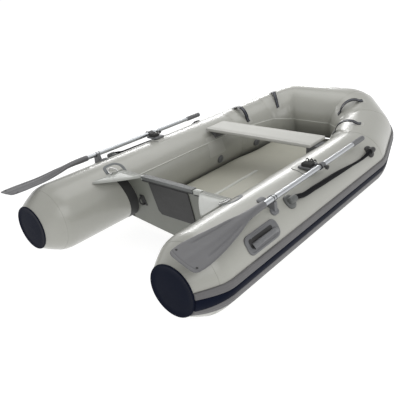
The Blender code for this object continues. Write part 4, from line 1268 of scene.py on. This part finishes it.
VALVE_Y, VALVE_ANGLE = 1.509, 192
KEEL_VALVE_SHARE, KEEL_VALVE_ANGLE = 0.378, 195.5
# name, y, angle, way to the rope
ROPE_FITTINGS = (("aft", 0.768, 48.0, 1), ("fore", 1.705, 38.5, -1))
# name, length of the tubes, share along it, angles of the two ends
STRAPS = (("aft", 1, 0.33, (84, 143)), ("fore", 2, 0.42, (87, 145)))

make_bow()
make_welt()
make_strake()
make_bottom()
make_floor()
make_transom()
make_seat()
make_valve("keel_valve", on_length(1, KEEL_VALVE_SHARE * length_of(1), KEEL_VALVE_ANGLE, -1))
for SIDE in SIDES:
    for MAKE in (make_tubes, make_cap, make_arch, make_rail_end, make_reinforcement, make_gusset, make_ring,
                 make_eye, make_seat_side):
        MAKE(SIDE)
    make_valve(f"{side_name(SIDE)}_valve", on_tube(VALVE_Y, VALVE_ANGLE, SIDE))
    make_handle(SIDE)
    for PLACE in ROPE_FITTINGS:
        make_rope_fitting(*PLACE, SIDE)
    for PLACE in STRAPS:
        make_strap(*PLACE, SIDE)
    for MAKE in (make_lock, make_collar, make_knob, make_shaft, make_blade, make_clip):
        MAKE(SIDE)


# ---------- floor and light ----------

FLOOR_GREY = 0.30
FLOOR_GLOW = 0.86
FLOOR_REACH = 30
SKY_FADE = {"From Min": 0.0, "From Max": 0.45, "To Min": 1.05, "To Max": 0.58}
LAMPS = (
    # place over the boat, size, watts
    ((-0.3, 0.9, 3.6), (3.0, 3.8), 50),
    ((-4.2, 4.4, 2.2), (5.0, 0.8), 100),
    ((3.2, -1.6, 2.6), (2.4, 2.4), 36),
)
LAMP_AIM = Vector((0, 0, 0.3))


def make_studio():
    mesh = bpy.data.meshes.new("studio_floor")
    corners = [(x * FLOOR_REACH, y * FLOOR_REACH) for x, y in ((-1, -1), (1, -1), (1, 1), (-1, 1))]
    mesh.from_pydata([(x, y, CAD_BOUNDS[0].z) for x, y in corners], [], [(0, 1, 2, 3)])
    floor = place_object("studio_floor", mesh)
    paint = bpy.data.materials.new("studio_floor")
    paint.use_nodes = True
    feed(paint.node_tree, paint.node_tree.nodes["Principled BSDF"], {
        "Base Color": (FLOOR_GREY, FLOOR_GREY, FLOOR_GREY, 1),
        "Roughness": 0.9,
        "Specular IOR Level": 0.0,
        "Emission Color": (1, 1, 1, 1),
        "Emission Strength": FLOOR_GLOW,
    })
    mesh.materials.append(paint)
    world = bpy.data.worlds.new("studio")
    world.use_nodes = True
    tree = world.node_tree
    place = add_node(tree, "TexCoord", {}).outputs["Generated"]
    height = add_node(tree, "SeparateXYZ", {"Vector": place}).outputs["Z"]
    fade = add_node(tree, "MapRange", {**SKY_FADE, "Value": height}).outputs["Result"]
    feed(tree, tree.nodes["Background"], {"Strength": fade, "Color": (1, 1, 1, 1)})
    bpy.context.scene.world = world
    for n, (place, size, watts) in enumerate(LAMPS):
        data = bpy.data.lights.new(f"lamp_{n + 1}", "AREA")
        data.shape = "RECTANGLE"
        data.size, data.size_y = size
        data.energy = watts
        lamp = place_object(f"lamp_{n + 1}", data)
        lamp.location = place
        lamp.rotation_euler = (LAMP_AIM - Vector(place)).to_track_quat("-Z", "Y").to_euler()
    bpy.context.scene.view_settings.view_transform = "Standard"


make_studio()
